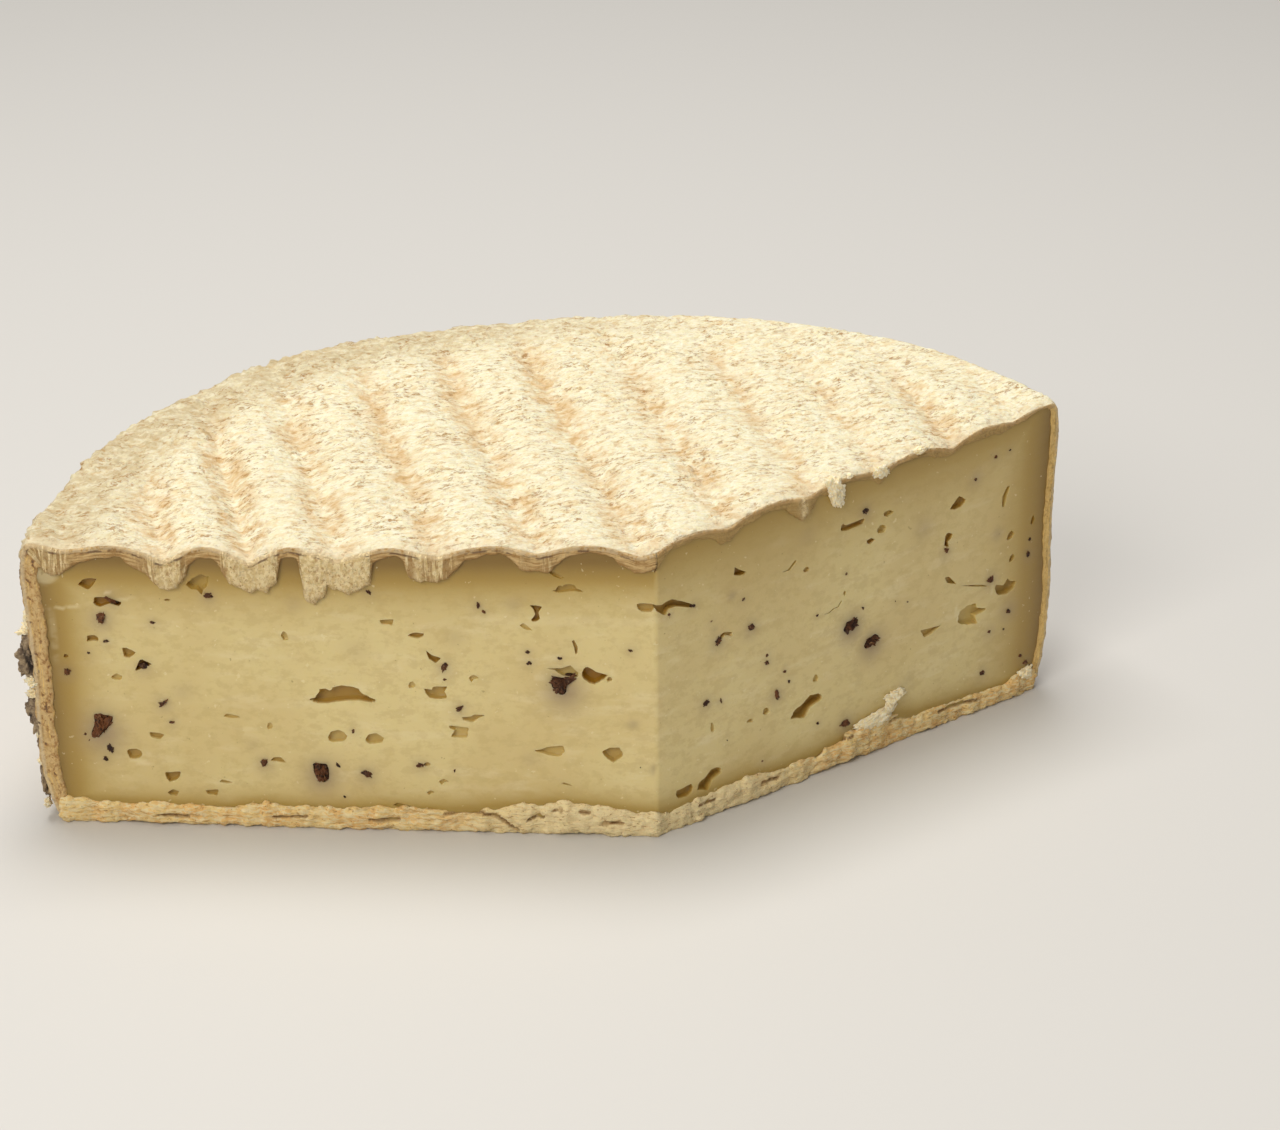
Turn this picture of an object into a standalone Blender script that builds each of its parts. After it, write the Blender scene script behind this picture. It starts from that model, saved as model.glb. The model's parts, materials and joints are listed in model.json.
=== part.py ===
"""A wedge cut from a wheel of juniper sheep cheese, standing on its base.

Two knife cuts meet at a corner just short of the wheel's centre and face -Y. The top carries the ridges
that a slatted shelf pressed into the wheel, and the crumbling rind shows as a band round each cut.
Metres, +Z up, origin under the middle of the piece's box.
"""

import math
import random

import bmesh
import bpy
from mathutils import Matrix, Vector, noise

MM = 0.001
UP = Vector((0, 0, 1))

# The two cuts, which leave the corner at CUT_HALF_ANGLE to either side of +Y
CORNER = Vector((10.4, -75.6, 0)) * MM
CUT_HALF_ANGLE = math.radians(69.75)
LEFT_LENGTH = 145 * MM
RIGHT_LENGTH = 124 * MM
PAST_RIM = 60 * MM

# The wheel before it was cut, which stands taller towards the right cut's rim
WHEEL_RADIUS = 129 * MM
WHEEL_HEIGHT = 75 * MM
WHEEL_CENTRE = CORNER + Vector((-10.7, 20.4, 0)) * MM
WHEEL_STEPS = 144
RIGHT_RISE = 6.4 * MM
RISE_SPREAD = math.radians(90)
# and swells or sinks a little round these places: (x, y, how much taller, spread), in millimetres
SWELLS = ((10.4, -75.6, 2.6, 55), (-113, 4, -2.3, 15), (-42, 70, 1.5, 42))
# How far the rim stands off WHEEL_RADIUS at each height: (offset, height), both in millimetres
RIM_PROFILE = (
    (-6.0, 0.0), (-2.4, 0.5), (-0.4, 2.2), (1.0, 6.0), (2.2, 13.0), (2.4, 24.0), (2.0, 38.0), (2.1, 50.0),
    (2.5, 60.0), (2.45, 66.5), (2.0, 71.5), (0.8, 74.2), (-1.6, 76.0), (-5.5, 77.2), (-9.0, 77.8), (-30.0, 79.0),
)

# Grooves between the ridges on the top, which run RIDGE_TURN off square to X: (across, depth), in millimetres
GROOVES = (
    (-151, 1.6), (-131, 1.6), (-109, 3.0), (-89.5, 3.8), (-70, 2.4), (-48, 1.9), (-26, 2.2), (-3.5, 2.4),
    (19.5, 1.8), (42, 1.4), (61, 1.2), (83, 2.4), (102, 1.6), (122, 1.6), (142, 1.6),
)
RIDGE_TURN = math.radians(3)
RIDGE_WANDER = 0.7
WANDER_SCALE = 50 * MM
GROOVE_SOFTNESS = 0.07
# The grooves lose this share of their depth between these radii, where they are this far behind both cuts
GROOVE_FADE = 0.75
FADE_RADII = (95 * MM, 122 * MM)
FADE_BEHIND = (10 * MM, 40 * MM)
UNEVENNESS = 0.7 * MM
TOP_LUMP_SCALE = 22 * MM
RIM_LUMP_SCALE = 30 * MM
FLAT_BELOW = 3 * MM
# The block that shapes the top: its size, how far past the origin it sits, its underside and its cells
SLAB_SIZE = (300 * MM, 200 * MM)
SLAB_SHIFT = 2 * MM
SLAB_BOTTOM = -20 * MM
SLAB_CELLS = (100, 18)

# The rind, seen cut through as a band that stands proud of the paste
LEFT_RIND_TOP = 2.6 * MM
RIGHT_RIND_TOP = 2.1 * MM
RIND_RIM = 4.4 * MM
RIND_BASE = 4.6 * MM
RIND_PROUD = 0.9 * MM
RIND_ROOT = 2.5 * MM
# Where each band starts along its cut, and how far it keeps inside the top and base
LEFT_BAND_START = -0.5 * MM
RIGHT_BAND_START = 0.3 * MM
LEFT_INSET = 0.4 * MM
RIGHT_INSET = 0.6 * MM
BAND_STATIONS = 132
INNER_EDGE_SHARE = 0.7
RAGGED_SHARE = 0.3
RAGGED_SCALE = 6 * MM
# The band turns from the top or base to the rim within this share of the height
BAND_TURN = 0.06
# Where the knife dragged rind down over the paste: (from the corner, width, extra thickness), in millimetres
LEFT_DRAGS = (
    (140, 12, 4.4), (114.5, 15, 5.4), (94, 16, 5.8), (79.5, 9, 9.0), (70, 14, 6.4), (52, 14, 4.8), (28, 12, 2.8),
    (4, 10, 2.2),
)
RIGHT_DRAGS = ((20, 6, 2.0), (42.5, 8, 4.0), (67, 6, 1.9), (103, 12, 0.8))
# Where the base's rind has broken up: the same three values
LEFT_BREAKS = ((28, 34, 2.6), (60, 20, 1.0))
RIGHT_BREAKS = ((14, 22, 1.6), (68, 17, 3.4), (104, 26, 1.0))
# How steep a feature's sides are: 1 is a plain wave and more is boxier
FEATURE_STEEPNESS = 2.5

# Openings in the paste: millimetres from the corner and above the base, width, height, tilt in degrees
LEFT_EYES = (
    (132, 64, 4, 2.6, 10), (128, 59, 6.6, 1.8, -4), (132, 50, 3, 1.7, 0), (123, 46, 3.8, 2.6, -20),
    (121, 43, 3.4, 2.8, 30), (106, 64.5, 5.2, 4.4, 20), (125, 19, 4, 3, 0), (119, 24, 3.4, 1.6, -5),
    (116, 13, 4, 2.5, 0), (116, 8.5, 3.2, 1.9, 0), (107, 9, 3.2, 1.8, 0), (73.5, 36.5, 16, 4.4, 0),
    (76, 25.5, 4.8, 2.8, 10), (67, 25, 4.8, 2.6, 0), (62, 56, 3.3, 1.8, 0), (55.5, 52.5, 3.5, 1.6, 5),
    (52, 47, 3.3, 2.4, -25), (52, 37, 5.2, 2.8, 0), (44, 31, 5.2, 1.6, 0), (47, 27.5, 4.8, 2.6, 0),
    (28, 59, 2.4, 4.4, 8), (20, 65.5, 7, 2.3, 0), (14.5, 43, 5.8, 4.2, -10), (24.5, 22.5, 5, 2.6, 0),
    (10.5, 22, 4.2, 4, 0),
)
RIGHT_EYES = (
    (5, 60.5, 11.5, 2.2, -8), (24.5, 63, 3.8, 2.2, 0), (59, 65.3, 7.2, 1.9, 6), (70.5, 65, 3.7, 1.6, 0),
    (46, 19.5, 10.4, 3.0, 24), (16, 10.7, 7.4, 2.4, 32), (8, 9.4, 5, 2.5, 0), (93, 61.5, 4.8, 2.8, 28),
    (90.4, 52.5, 2.8, 3, 50), (109, 59, 2.2, 7, -12), (111.6, 47.5, 2.9, 2.8, 0), (91, 41.5, 4.6, 1.9, -30),
    (110.5, 33, 7.2, 4.2, 0), (99.5, 28.5, 7.6, 5.6, 15), (85, 29, 6.2, 2.3, 12),
)
EYE_SEGMENTS = 9
EYE_REACH = (0.78, 1.08)
EYE_LEAST_DEPTH = 0.7
EYE_DEPTH_SHARE = 0.42
# An eye's bowl from outside in: (size, depth), as shares of the mouth's size and of the eye's depth
EYE_BOWL = ((1.06, -0.5), (1.0, 0.0), (0.8, 0.55))
EYE_TIP_UP = 0.1

# Juniper berries large enough to be pieces of their own: the same five values
LEFT_BERRIES = ((132, 26, 4.8, 7, 8), (21.8, 40.2, 5.2, 4.8, 0), (80, 15.2, 3.4, 5.4, -12))
RIGHT_BERRIES = ((59.4, 38.1, 4.5, 3.3, 0), (66.2, 31.5, 4.6, 3.1, 0))
BERRY_DEPTH = 4.4 * MM
BERRY_SUNK = 1.3 * MM
BERRY_GAP = 0.35 * MM
BERRY_WRINKLE = 0.25

# Crushed juniper that lies in the paste: millimetres from the corner, above the base, and across
LEFT_SPECKS = (
    (129.5, 55, 2.8), (103.7, 61.5, 2.0), (130.5, 20.5, 2.2), (116.5, 32.5, 2.2), (69, 15.5, 2.8),
    (56, 18, 1.8), (49.5, 44.5, 2.2), (46, 33.5, 2.0), (93.5, 17.5, 2.2), (139, 41, 1.8),
)
RIGHT_SPECKS = (
    (28, 47.3, 2.2), (18, 46.8, 2.2), (33, 37.2, 1.9), (36, 26.5, 2.1), (14.5, 31.4, 2.2), (58.5, 11.1, 2.6),
    (63, 67.8, 2.0), (105.5, 36.6, 2.2), (118, 39.2, 2.0), (89.8, 49.2, 1.8),
)
SPECK_SUNK = 0.25
SPECK_TALL = 0.75
SPECK_ROUGH = 0.3
SPECK_TURN = 40

# Dark mould on the rim beside the left cut: millimetres back from the cut, above the base, across and tall
MOULD_PATCHES = ((5, 62, 8, 12), (4, 42, 9, 12), (5, 28, 8, 10), (7, 9, 8, 8), (16, 46, 10, 12))
MOULD_PROUD = 1.9 * MM
MOULD_ROUGH = 0.6
# Loose rind on the right cut: millimetres from the corner, above the base, across, tall, and how far out
RIGHT_CRUMBS = ((53.3, 75.4, 4.2, 6.8, 1.6), (74.5, 14.5, 3.0, 5.6, 1.2), (68, 9.2, 13, 5.0, 1.2))
CRUMB_ROUGH = 0.7
CRUMB_TURN = 12

BLOB_LUMPS = 1.6
SEED = 6235
MERGE_WITHIN = 0.01 * MM
SHARP_ANGLE = math.radians(40)
PASTE_COLOUR = (0.78, 0.68, 0.45)
JUNIPER_COLOUR = (0.12, 0.06, 0.035)


def clear_scene():
    for obj in list(bpy.data.objects):
        bpy.data.objects.remove(obj)


def material(name, colour, roughness):
    made = bpy.data.materials.new(name)
    made.use_nodes = True
    shader = made.node_tree.nodes["Principled BSDF"]
    shader.inputs["Base Color"].default_value = (*colour, 1)
    shader.inputs["Roughness"].default_value = roughness
    shader.inputs["Metallic"].default_value = 0
    return made


def object_from(bm, name, collection=None):
    bmesh.ops.recalc_face_normals(bm, faces=bm.faces)
    if bm.calc_volume(signed=True) < 0:
        bmesh.ops.reverse_faces(bm, faces=bm.faces)
    mesh = bpy.data.meshes.new(name)
    bm.to_mesh(mesh)
    bm.free()
    obj = bpy.data.objects.new(name, mesh)
    (collection or bpy.context.scene.collection).objects.link(obj)
    return obj


def new_collection(name):
    made = bpy.data.collections.new(name)
    bpy.context.scene.collection.children.link(made)
    return made


def drop_folded_faces(mesh):
    """Removes pairs of sliver faces that a Boolean left back to back on the same points."""
    bm = bmesh.new()
    bm.from_mesh(mesh)
    seen, folded = {}, []
    for face in bm.faces:
        points = frozenset(vert.index for vert in face.verts)
        if points in seen:
            folded += [face, seen[points]]
        seen[points] = face
    bmesh.ops.delete(bm, geom=folded, context="FACES")
    bm.to_mesh(mesh)
    bm.free()


def boolean(obj, operation, other):
    """Applies one Boolean with an object or a collection, and removes what it used."""
    modifier = obj.modifiers.new(operation, "BOOLEAN")
    modifier.operation = operation
    modifier.solver = "EXACT"
    is_group = isinstance(other, bpy.types.Collection)
    if is_group:
        modifier.operand_type = "COLLECTION"
        modifier.collection = other
    else:
        modifier.object = other
    bpy.context.view_layer.update()
    graph = bpy.context.evaluated_depsgraph_get()
    mesh = bpy.data.meshes.new_from_object(obj.evaluated_get(graph))
    obj.modifiers.clear()
    drop_folded_faces(mesh)
    obj.data = mesh
    for used in list(other.objects) if is_group else [other]:
        bpy.data.objects.remove(used)
    if is_group:
        bpy.data.collections.remove(other)


class CutFace:
    """One knife cut. A place on it is its distance from the corner, its height and how far out it is."""

    def __init__(self, side, length, rind_top, band_start, inset):
        self.side = side
        self.length = length
        self.rind_top = rind_top
        self.band_start = band_start
        self.inset = inset
        self.along = Vector((side * math.sin(CUT_HALF_ANGLE), math.cos(CUT_HALF_ANGLE), 0))
        self.out = Vector((side * math.cos(CUT_HALF_ANGLE), -math.sin(CUT_HALF_ANGLE), 0))

    def place(self, along, height, out=0.0):
        return CORNER + self.along * along + UP * height + self.out * out

    def axes(self, tilt):
        """Axes across, up and out of the cut; a tilt in degrees lifts the end away from the corner."""
        turn = Matrix.Rotation(math.radians(tilt * self.side), 3, self.out)
        return turn @ self.along, turn @ UP, self.out

    def rim_distance(self, height):
        """How far from the corner the cut meets the rim at this height."""
        radius = WHEEL_RADIUS + rim_offset(height)
        back = CORNER - WHEEL_CENTRE
        middle = back.dot(self.along)
        return math.sqrt(middle**2 - back.length_squared + radius**2) - middle


LEFT = CutFace(-1, LEFT_LENGTH, LEFT_RIND_TOP, LEFT_BAND_START, LEFT_INSET)
RIGHT = CutFace(1, RIGHT_LENGTH, RIGHT_RIND_TOP, RIGHT_BAND_START, RIGHT_INSET)


def rim_offset(height):
    """The rim profile's offset at a height, by straight lines between its points."""
    tall = height / MM
    for (low, start), (high, end) in zip(RIM_PROFILE, RIM_PROFILE[1:]):
        if start <= tall <= end:
            return (low + (high - low) * (tall - start) / (end - start)) * MM
    return RIM_PROFILE[-1][0] * MM


def ease(value, low, high):
    """0 up to low and 1 from high on, with a smooth step between them."""
    share = min(max((value - low) / (high - low), 0.0), 1.0)
    return share**2 * (3 - 2 * share)


def rise(x, y):
    """How much taller the wheel stands: most at the right cut's rim, and a little at the swells."""
    spot = Vector((x, y, 0)) - WHEEL_CENTRE
    tallest = RIGHT.place(RIGHT_LENGTH, 0) - WHEEL_CENTRE
    turned = abs(math.atan2(spot.y, spot.x) - math.atan2(tallest.y, tallest.x))
    share = max(0.0, 1 - turned / RISE_SPREAD)
    total = RIGHT_RISE * share**2 * (3 - 2 * share) * min(spot.length / WHEEL_RADIUS, 1)
    for middle_x, middle_y, taller, spread in SWELLS:
        away = math.hypot(x - middle_x * MM, y - middle_y * MM) / (spread * MM)
        total += taller * MM * math.exp(-(away**2))
    return total


def groove_share(x, y):
    """How much of its depth a groove keeps: less towards the rim, away from the cuts."""
    spot = Vector((x, y, 0))
    behind = min((CORNER - spot).dot(face.out) for face in (LEFT, RIGHT))
    return 1 - GROOVE_FADE * ease((spot - WHEEL_CENTRE).length, *FADE_RADII) * ease(behind, *FADE_BEHIND)


def groove_depth(across):
    """How far the top lies under the ridges' crests at a place across them, in millimetres."""
    for (start, first), (end, second) in zip(GROOVES, GROOVES[1:]):
        if start <= across <= end:
            share = (across - start) / (end - start)
            ridge = math.sqrt(math.sin(math.pi * share) ** 2 + GROOVE_SOFTNESS**2)
            return (first + (second - first) * share) * max(0.0, 1 - ridge)
    return 0.0


def top_height(x, y):
    """The height of the ridged top: broad ridges with narrow grooves between them."""
    across = ((x - CORNER.x) * math.cos(RIDGE_TURN) - (y - CORNER.y) * math.sin(RIDGE_TURN)) / MM
    wander = noise.noise(Vector((x, y, 0)) / WANDER_SCALE) * RIDGE_WANDER
    lump = noise.noise(Vector((x, y, WHEEL_HEIGHT)) / TOP_LUMP_SCALE) * UNEVENNESS
    groove = groove_depth(across + wander) * MM * groove_share(x, y)
    return WHEEL_HEIGHT + rise(x, y) - groove + lump


def whole_wheel():
    """The wheel, turned from its rim profile and then made a little uneven."""
    bm = bmesh.new()
    points = [Vector((0, 0, 0))]
    points += [Vector((WHEEL_RADIUS + offset * MM, 0, height * MM)) for offset, height in RIM_PROFILE]
    points += [Vector((0, 0, RIM_PROFILE[-1][1] * MM))]
    outline = [bm.verts.new(point) for point in points]
    edges = [bm.edges.new(pair) for pair in zip(outline, outline[1:])]
    bmesh.ops.spin(
        bm, geom=outline + edges, axis=UP, cent=(0, 0, 0), angle=2 * math.pi, steps=WHEEL_STEPS, use_merge=True
    )
    bmesh.ops.remove_doubles(bm, verts=bm.verts, dist=MERGE_WITHIN)
    for vert in bm.verts:
        outward = vert.co.xy
        vert.co += WHEEL_CENTRE
        vert.co.z *= 1 + rise(vert.co.x, vert.co.y) / WHEEL_HEIGHT
        if outward.length > WHEEL_RADIUS / 2 and vert.co.z > FLAT_BELOW:
            vert.co += outward.normalized().to_3d() * noise.noise(vert.co / RIM_LUMP_SCALE) * UNEVENNESS
    return object_from(bm, "wheel")


def sector():
    """An upright prism over the ground plan between the two cuts, reaching past the rim."""
    ends = [face.place(face.length + PAST_RIM, SLAB_BOTTOM) for face in (LEFT, RIGHT)]
    backs = [end + Vector((0, 3 * PAST_RIM, 0)) for end in ends]
    bm = bmesh.new()
    outline = [LEFT.place(0, SLAB_BOTTOM), ends[1], backs[1], backs[0], ends[0]]
    base = bm.faces.new([bm.verts.new(point) for point in outline])
    raised = bmesh.ops.extrude_face_region(bm, geom=[base])
    for item in raised["geom"]:
        if isinstance(item, bmesh.types.BMVert):
            item.co.z = 2 * WHEEL_HEIGHT
    return object_from(bm, "cheese_wedge")


def ridged_slab():
    """A block whose upper side is the ridged top, with its cells square to the ridges."""
    bm = bmesh.new()
    bmesh.ops.create_grid(bm, x_segments=SLAB_CELLS[0], y_segments=SLAB_CELLS[1], size=0.5)
    turn = Matrix.Rotation(-RIDGE_TURN, 3, "Z")
    for vert in bm.verts:
        vert.co = turn @ Vector((vert.co.x * SLAB_SIZE[0], vert.co.y * SLAB_SIZE[1] + SLAB_SHIFT, 0))
        vert.co.z = top_height(vert.co.x, vert.co.y)
    sides = bmesh.ops.extrude_edge_only(bm, edges=[edge for edge in bm.edges if edge.is_boundary])
    for item in sides["geom"]:
        if isinstance(item, bmesh.types.BMVert):
            item.co.z = SLAB_BOTTOM
    bmesh.ops.holes_fill(bm, edges=[edge for edge in bm.edges if edge.is_boundary], sides=0)
    return object_from(bm, "ridged_slab")


def bump(distance, middle, width):
    """1 at the middle of a feature, falling smoothly to 0 at half its width."""
    share = min(abs(distance - middle) / (width / 2), 1)
    return 0.5 + 0.5 * math.cos(math.pi * share**FEATURE_STEEPNESS)


def added_thickness(along, features):
    return sum(extra * bump(along / MM, middle, width) for middle, width, extra in features) * MM


def band_stations(face, drags, breaks):
    """Points round a cut from the corner over the top, down the rim and back along the base.
    Each is its outer place on the cut and its inner one, both as (from the corner, height)."""
    reach = face.rim_distance(WHEEL_HEIGHT / 2)
    run = 2 * reach + WHEEL_HEIGHT
    for step in range(BAND_STATIONS + 1):
        travel = face.band_start + (run - 2 * face.band_start) * step / BAND_STATIONS
        ragged = 1 + RAGGED_SHARE * noise.noise(Vector((travel / RAGGED_SCALE, face.side, 0)))
        if travel < reach - RIND_RIM:
            spot = face.place(travel, 0)
            height = top_height(spot.x, spot.y) - face.inset
            thick = (face.rind_top + added_thickness(travel, drags)) * ragged
            yield (travel, height), (travel, height - thick)
        elif travel > reach + WHEEL_HEIGHT + RIND_RIM:
            along = run - travel
            thick = (RIND_BASE + added_thickness(along, breaks)) * ragged
            yield (along, face.inset), (along, face.inset + thick)
        else:
            drop = (travel - reach + RIND_RIM) / (WHEEL_HEIGHT + 2 * RIND_RIM)
            height = WHEEL_HEIGHT * (1 - BAND_TURN - (1 - 2 * BAND_TURN) * drop)
            along = face.rim_distance(height) - face.inset
            yield (along, height), (along - RIND_RIM * ragged, height)


def rind_band(face, drags, breaks, collection):
    """The cut rind as a band with a ragged inner edge, its root sunk in the paste."""
    bm = bmesh.new()
    rings = []
    for outer, inner in band_stations(face, drags, breaks):
        proud = RIND_PROUD * (1 + RAGGED_SHARE * noise.noise(Vector((*outer, 0)) / RAGGED_SCALE))
        inner_proud = proud * INNER_EDGE_SHARE
        corners = ((*outer, -RIND_ROOT), (*outer, proud), (*inner, inner_proud), (*inner, -RIND_ROOT))
        rings.append([bm.verts.new(face.place(*corner)) for corner in corners])
    for one, two in zip(rings, rings[1:]):
        for side in range(4):
            bm.faces.new((one[side], one[side - 1], two[side - 1], two[side]))
    bm.faces.new(rings[0])
    bm.faces.new(reversed(rings[-1]))
    object_from(bm, "rind_band", collection)


def blob(name, centre, axes, halves, rough, number, collection=None, detail=1):
    """A lumpy ellipsoid from its centre, three axes and its half sizes along them."""
    bm = bmesh.new()
    bmesh.ops.create_icosphere(bm, subdivisions=detail, radius=1)
    shift = Vector((number, number / 2, number * 2))
    for vert in bm.verts:
        swell = 1 + rough * noise.noise(vert.co * BLOB_LUMPS + shift)
        offsets = (axis * part * half * swell for axis, part, half in zip(axes, vert.co, halves))
        vert.co = centre + sum(offsets, Vector())
    return object_from(bm, name, collection)


def eye_cutter(face, eye, number, collection):
    """A bowl with an uneven mouth, to be cut into the face."""
    along, height, wide, tall, tilt = eye
    across, up, out = face.axes(tilt)
    rand = random.Random(SEED + number)
    mouth = [rand.uniform(*EYE_REACH) for _ in range(EYE_SEGMENTS)]
    depth = (EYE_LEAST_DEPTH + EYE_DEPTH_SHARE * tall) * MM
    centre = face.place(along * MM, height * MM)
    bm = bmesh.new()
    rings = []
    for size, deep in EYE_BOWL:
        ring = []
        for step, reach in enumerate(mouth):
            turn = 2 * math.pi * step / EYE_SEGMENTS
            spread = across * (math.cos(turn) * wide) + up * (math.sin(turn) * tall)
            ring.append(bm.verts.new(centre + spread * (reach * size * MM / 2) - out * deep * depth))
        rings.append(ring)
    tip = bm.verts.new(centre - out * depth + up * (EYE_TIP_UP * tall * MM))
    for one, two in zip(rings, rings[1:]):
        for step in range(EYE_SEGMENTS):
            bm.faces.new((one[step], one[step - 1], two[step - 1], two[step]))
    for step in range(EYE_SEGMENTS):
        bm.faces.new((rings[-1][step], rings[-1][step - 1], tip))
    bm.faces.new(rings[0])
    object_from(bm, "eye", collection)


def berry_blob(name, face, berry, number, grow, collection=None):
    """A shrivelled juniper berry seated in a cut, or its pocket when it is grown."""
    along, height, wide, tall, tilt = berry
    centre = face.place(along * MM, height * MM, -BERRY_SUNK)
    halves = [size / 2 + grow for size in (wide * MM, tall * MM, BERRY_DEPTH)]
    return blob(name, centre, face.axes(tilt), halves, BERRY_WRINKLE, number, collection, detail=2)


def berries():
    """Each berry with its face and number, counted over both cuts."""
    seated = [(LEFT, berry) for berry in LEFT_BERRIES] + [(RIGHT, berry) for berry in RIGHT_BERRIES]
    return [(face, berry, number) for number, (face, berry) in enumerate(seated, start=1)]


def speck(face, place, number, collection):
    along, height, across = place
    half = across * MM / 2
    centre = face.place(along * MM, height * MM, -SPECK_SUNK * across * MM)
    halves = (half, half * SPECK_TALL, half)
    blob("speck", centre, face.axes(SPECK_TURN * number), halves, SPECK_ROUGH, number, collection)


def mould_patch(patch, number, collection):
    """Mould that stands off the rim, beside the left cut."""
    back, height, across, tall = (value * MM for value in patch)
    start = LEFT.place(LEFT.rim_distance(height), height) - WHEEL_CENTRE
    spot = Matrix.Rotation(-back / WHEEL_RADIUS, 3, "Z") @ start
    out = spot.xy.normalized().to_3d()
    axes = (UP.cross(out), UP, out)
    halves = (across / 2, tall / 2, MOULD_PROUD)
    blob("mould", WHEEL_CENTRE + spot, axes, halves, MOULD_ROUGH, number, collection, detail=2)


def crumb(place, number, collection):
    along, height, across, tall, out = (value * MM for value in place)
    halves = (across / 2, tall / 2, out)
    blob("crumb", RIGHT.place(along, height), RIGHT.axes(CRUMB_TURN), halves, CRUMB_ROUGH, number, collection)


def add_relief(body):
    """Joins the rind bands, specks, mould and crumbs to the body."""
    relief = new_collection("relief")
    rind_band(LEFT, LEFT_DRAGS, LEFT_BREAKS, relief)
    rind_band(RIGHT, RIGHT_DRAGS, RIGHT_BREAKS, relief)
    for face, places in ((LEFT, LEFT_SPECKS), (RIGHT, RIGHT_SPECKS)):
        for number, place in enumerate(places):
            speck(face, place, number, relief)
    for number, patch in enumerate(MOULD_PATCHES):
        mould_patch(patch, number, relief)
    for number, place in enumerate(RIGHT_CRUMBS):
        crumb(place, number, relief)
    boolean(body, "UNION", relief)


def cut_openings(body):
    """Cuts the openings and the berries' pockets out of the paste."""
    cutters = new_collection("cutters")
    for face, eyes in ((LEFT, LEFT_EYES), (RIGHT, RIGHT_EYES)):
        for number, eye in enumerate(eyes):
            eye_cutter(face, eye, number, cutters)
    for face, berry, number in berries():
        berry_blob("pocket", face, berry, number, BERRY_GAP, cutters)
    boolean(body, "DIFFERENCE", cutters)


def finish(obj, surface):
    obj.data.materials.clear()
    obj.data.materials.append(surface)
    obj.data.shade_smooth()
    obj.data.set_sharp_from_angle(angle=SHARP_ANGLE)


def main():
    clear_scene()
    body = sector()
    boolean(body, "INTERSECT", whole_wheel())
    boolean(body, "INTERSECT", ridged_slab())
    add_relief(body)
    cut_openings(body)
    finish(body, material("cheese", PASTE_COLOUR, 0.6))
    juniper = material("juniper", JUNIPER_COLOUR, 0.55)
    for face, berry, number in berries():
        finish(berry_blob(f"juniper_berry_{number}", face, berry, number, 0), juniper)


main()
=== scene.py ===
"""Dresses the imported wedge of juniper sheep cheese: its rind, its paste with its openings, and the juniper.

The rind, the base's rind and the paste are separate closed meshes, made by the same formulas as the solid
that they stand for. All working sizes are in millimetres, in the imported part's own frame.
"""

import json
import math
import random

import bmesh
import bpy
import numpy as np
from mathutils import Matrix, Vector, geometry, noise

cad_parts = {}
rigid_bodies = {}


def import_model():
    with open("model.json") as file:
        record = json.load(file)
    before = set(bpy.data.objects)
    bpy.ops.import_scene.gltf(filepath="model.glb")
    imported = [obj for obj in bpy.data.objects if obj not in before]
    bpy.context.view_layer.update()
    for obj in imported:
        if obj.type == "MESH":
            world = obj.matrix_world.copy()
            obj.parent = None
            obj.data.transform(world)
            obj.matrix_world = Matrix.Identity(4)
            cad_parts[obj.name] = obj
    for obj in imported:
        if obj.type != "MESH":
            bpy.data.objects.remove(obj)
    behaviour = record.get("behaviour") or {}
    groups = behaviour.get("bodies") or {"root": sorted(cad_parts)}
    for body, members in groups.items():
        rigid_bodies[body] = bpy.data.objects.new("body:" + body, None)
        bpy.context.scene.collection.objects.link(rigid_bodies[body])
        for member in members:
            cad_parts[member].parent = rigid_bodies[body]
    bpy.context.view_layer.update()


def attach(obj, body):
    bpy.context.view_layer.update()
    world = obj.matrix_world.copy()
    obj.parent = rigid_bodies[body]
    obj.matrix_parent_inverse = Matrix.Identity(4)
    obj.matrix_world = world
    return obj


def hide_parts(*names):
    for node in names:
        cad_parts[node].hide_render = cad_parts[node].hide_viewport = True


MM = 0.001
SEED = 6235

# Camera
CAMERA_PLACE = (-167.4, -664.8, 371.5)
CAMERA_FORWARD = (0.2546, 0.8624, -0.4376)
CAMERA_ROLL = math.radians(-0.42)
CAMERA_LENS = 84.375
CAMERA_SENSOR = 36.0

# The two cuts, which leave the corner at CUT_HALF_ANGLE to either side of +Y
CORNER = np.array([10.4, -75.6, 0.0])
CUT_HALF_ANGLE = math.radians(69.75)
RIGHT_LENGTH = 124.0

# The wheel before it was cut, which stands taller towards the right cut's rim and swells round the corner
WHEEL_RADIUS = 129.0
WHEEL_HEIGHT = 75.0
WHEEL_CENTRE = CORNER + np.array([-10.7, 20.4, 0.0])
RIGHT_RISE = 6.4
RISE_SPREAD = math.radians(90)
# Places where it swells or sinks: (x, y, how much taller, spread)
SWELLS = ((10.4, -75.6, 2.6, 55), (-113, 4, -2.3, 15), (-42, 70, 1.5, 42))
# How far the rim stands off WHEEL_RADIUS at each height: (offset, height)
RIM_PROFILE = np.array([
    (-6.0, 0.0), (-2.4, 0.5), (-0.4, 2.2), (1.0, 6.0), (2.2, 13.0), (2.4, 24.0), (2.0, 38.0), (2.1, 50.0),
    (2.5, 60.0), (2.45, 66.5), (2.0, 71.5), (0.8, 74.2), (-1.6, 76.0), (-5.5, 77.2), (-9.0, 77.8),
    (-30.0, 79.0),
])
RIM_BULGE = 2.4
RING_OFFSET = -9.0
RIM_SOFTNESS = 1.5

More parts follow.
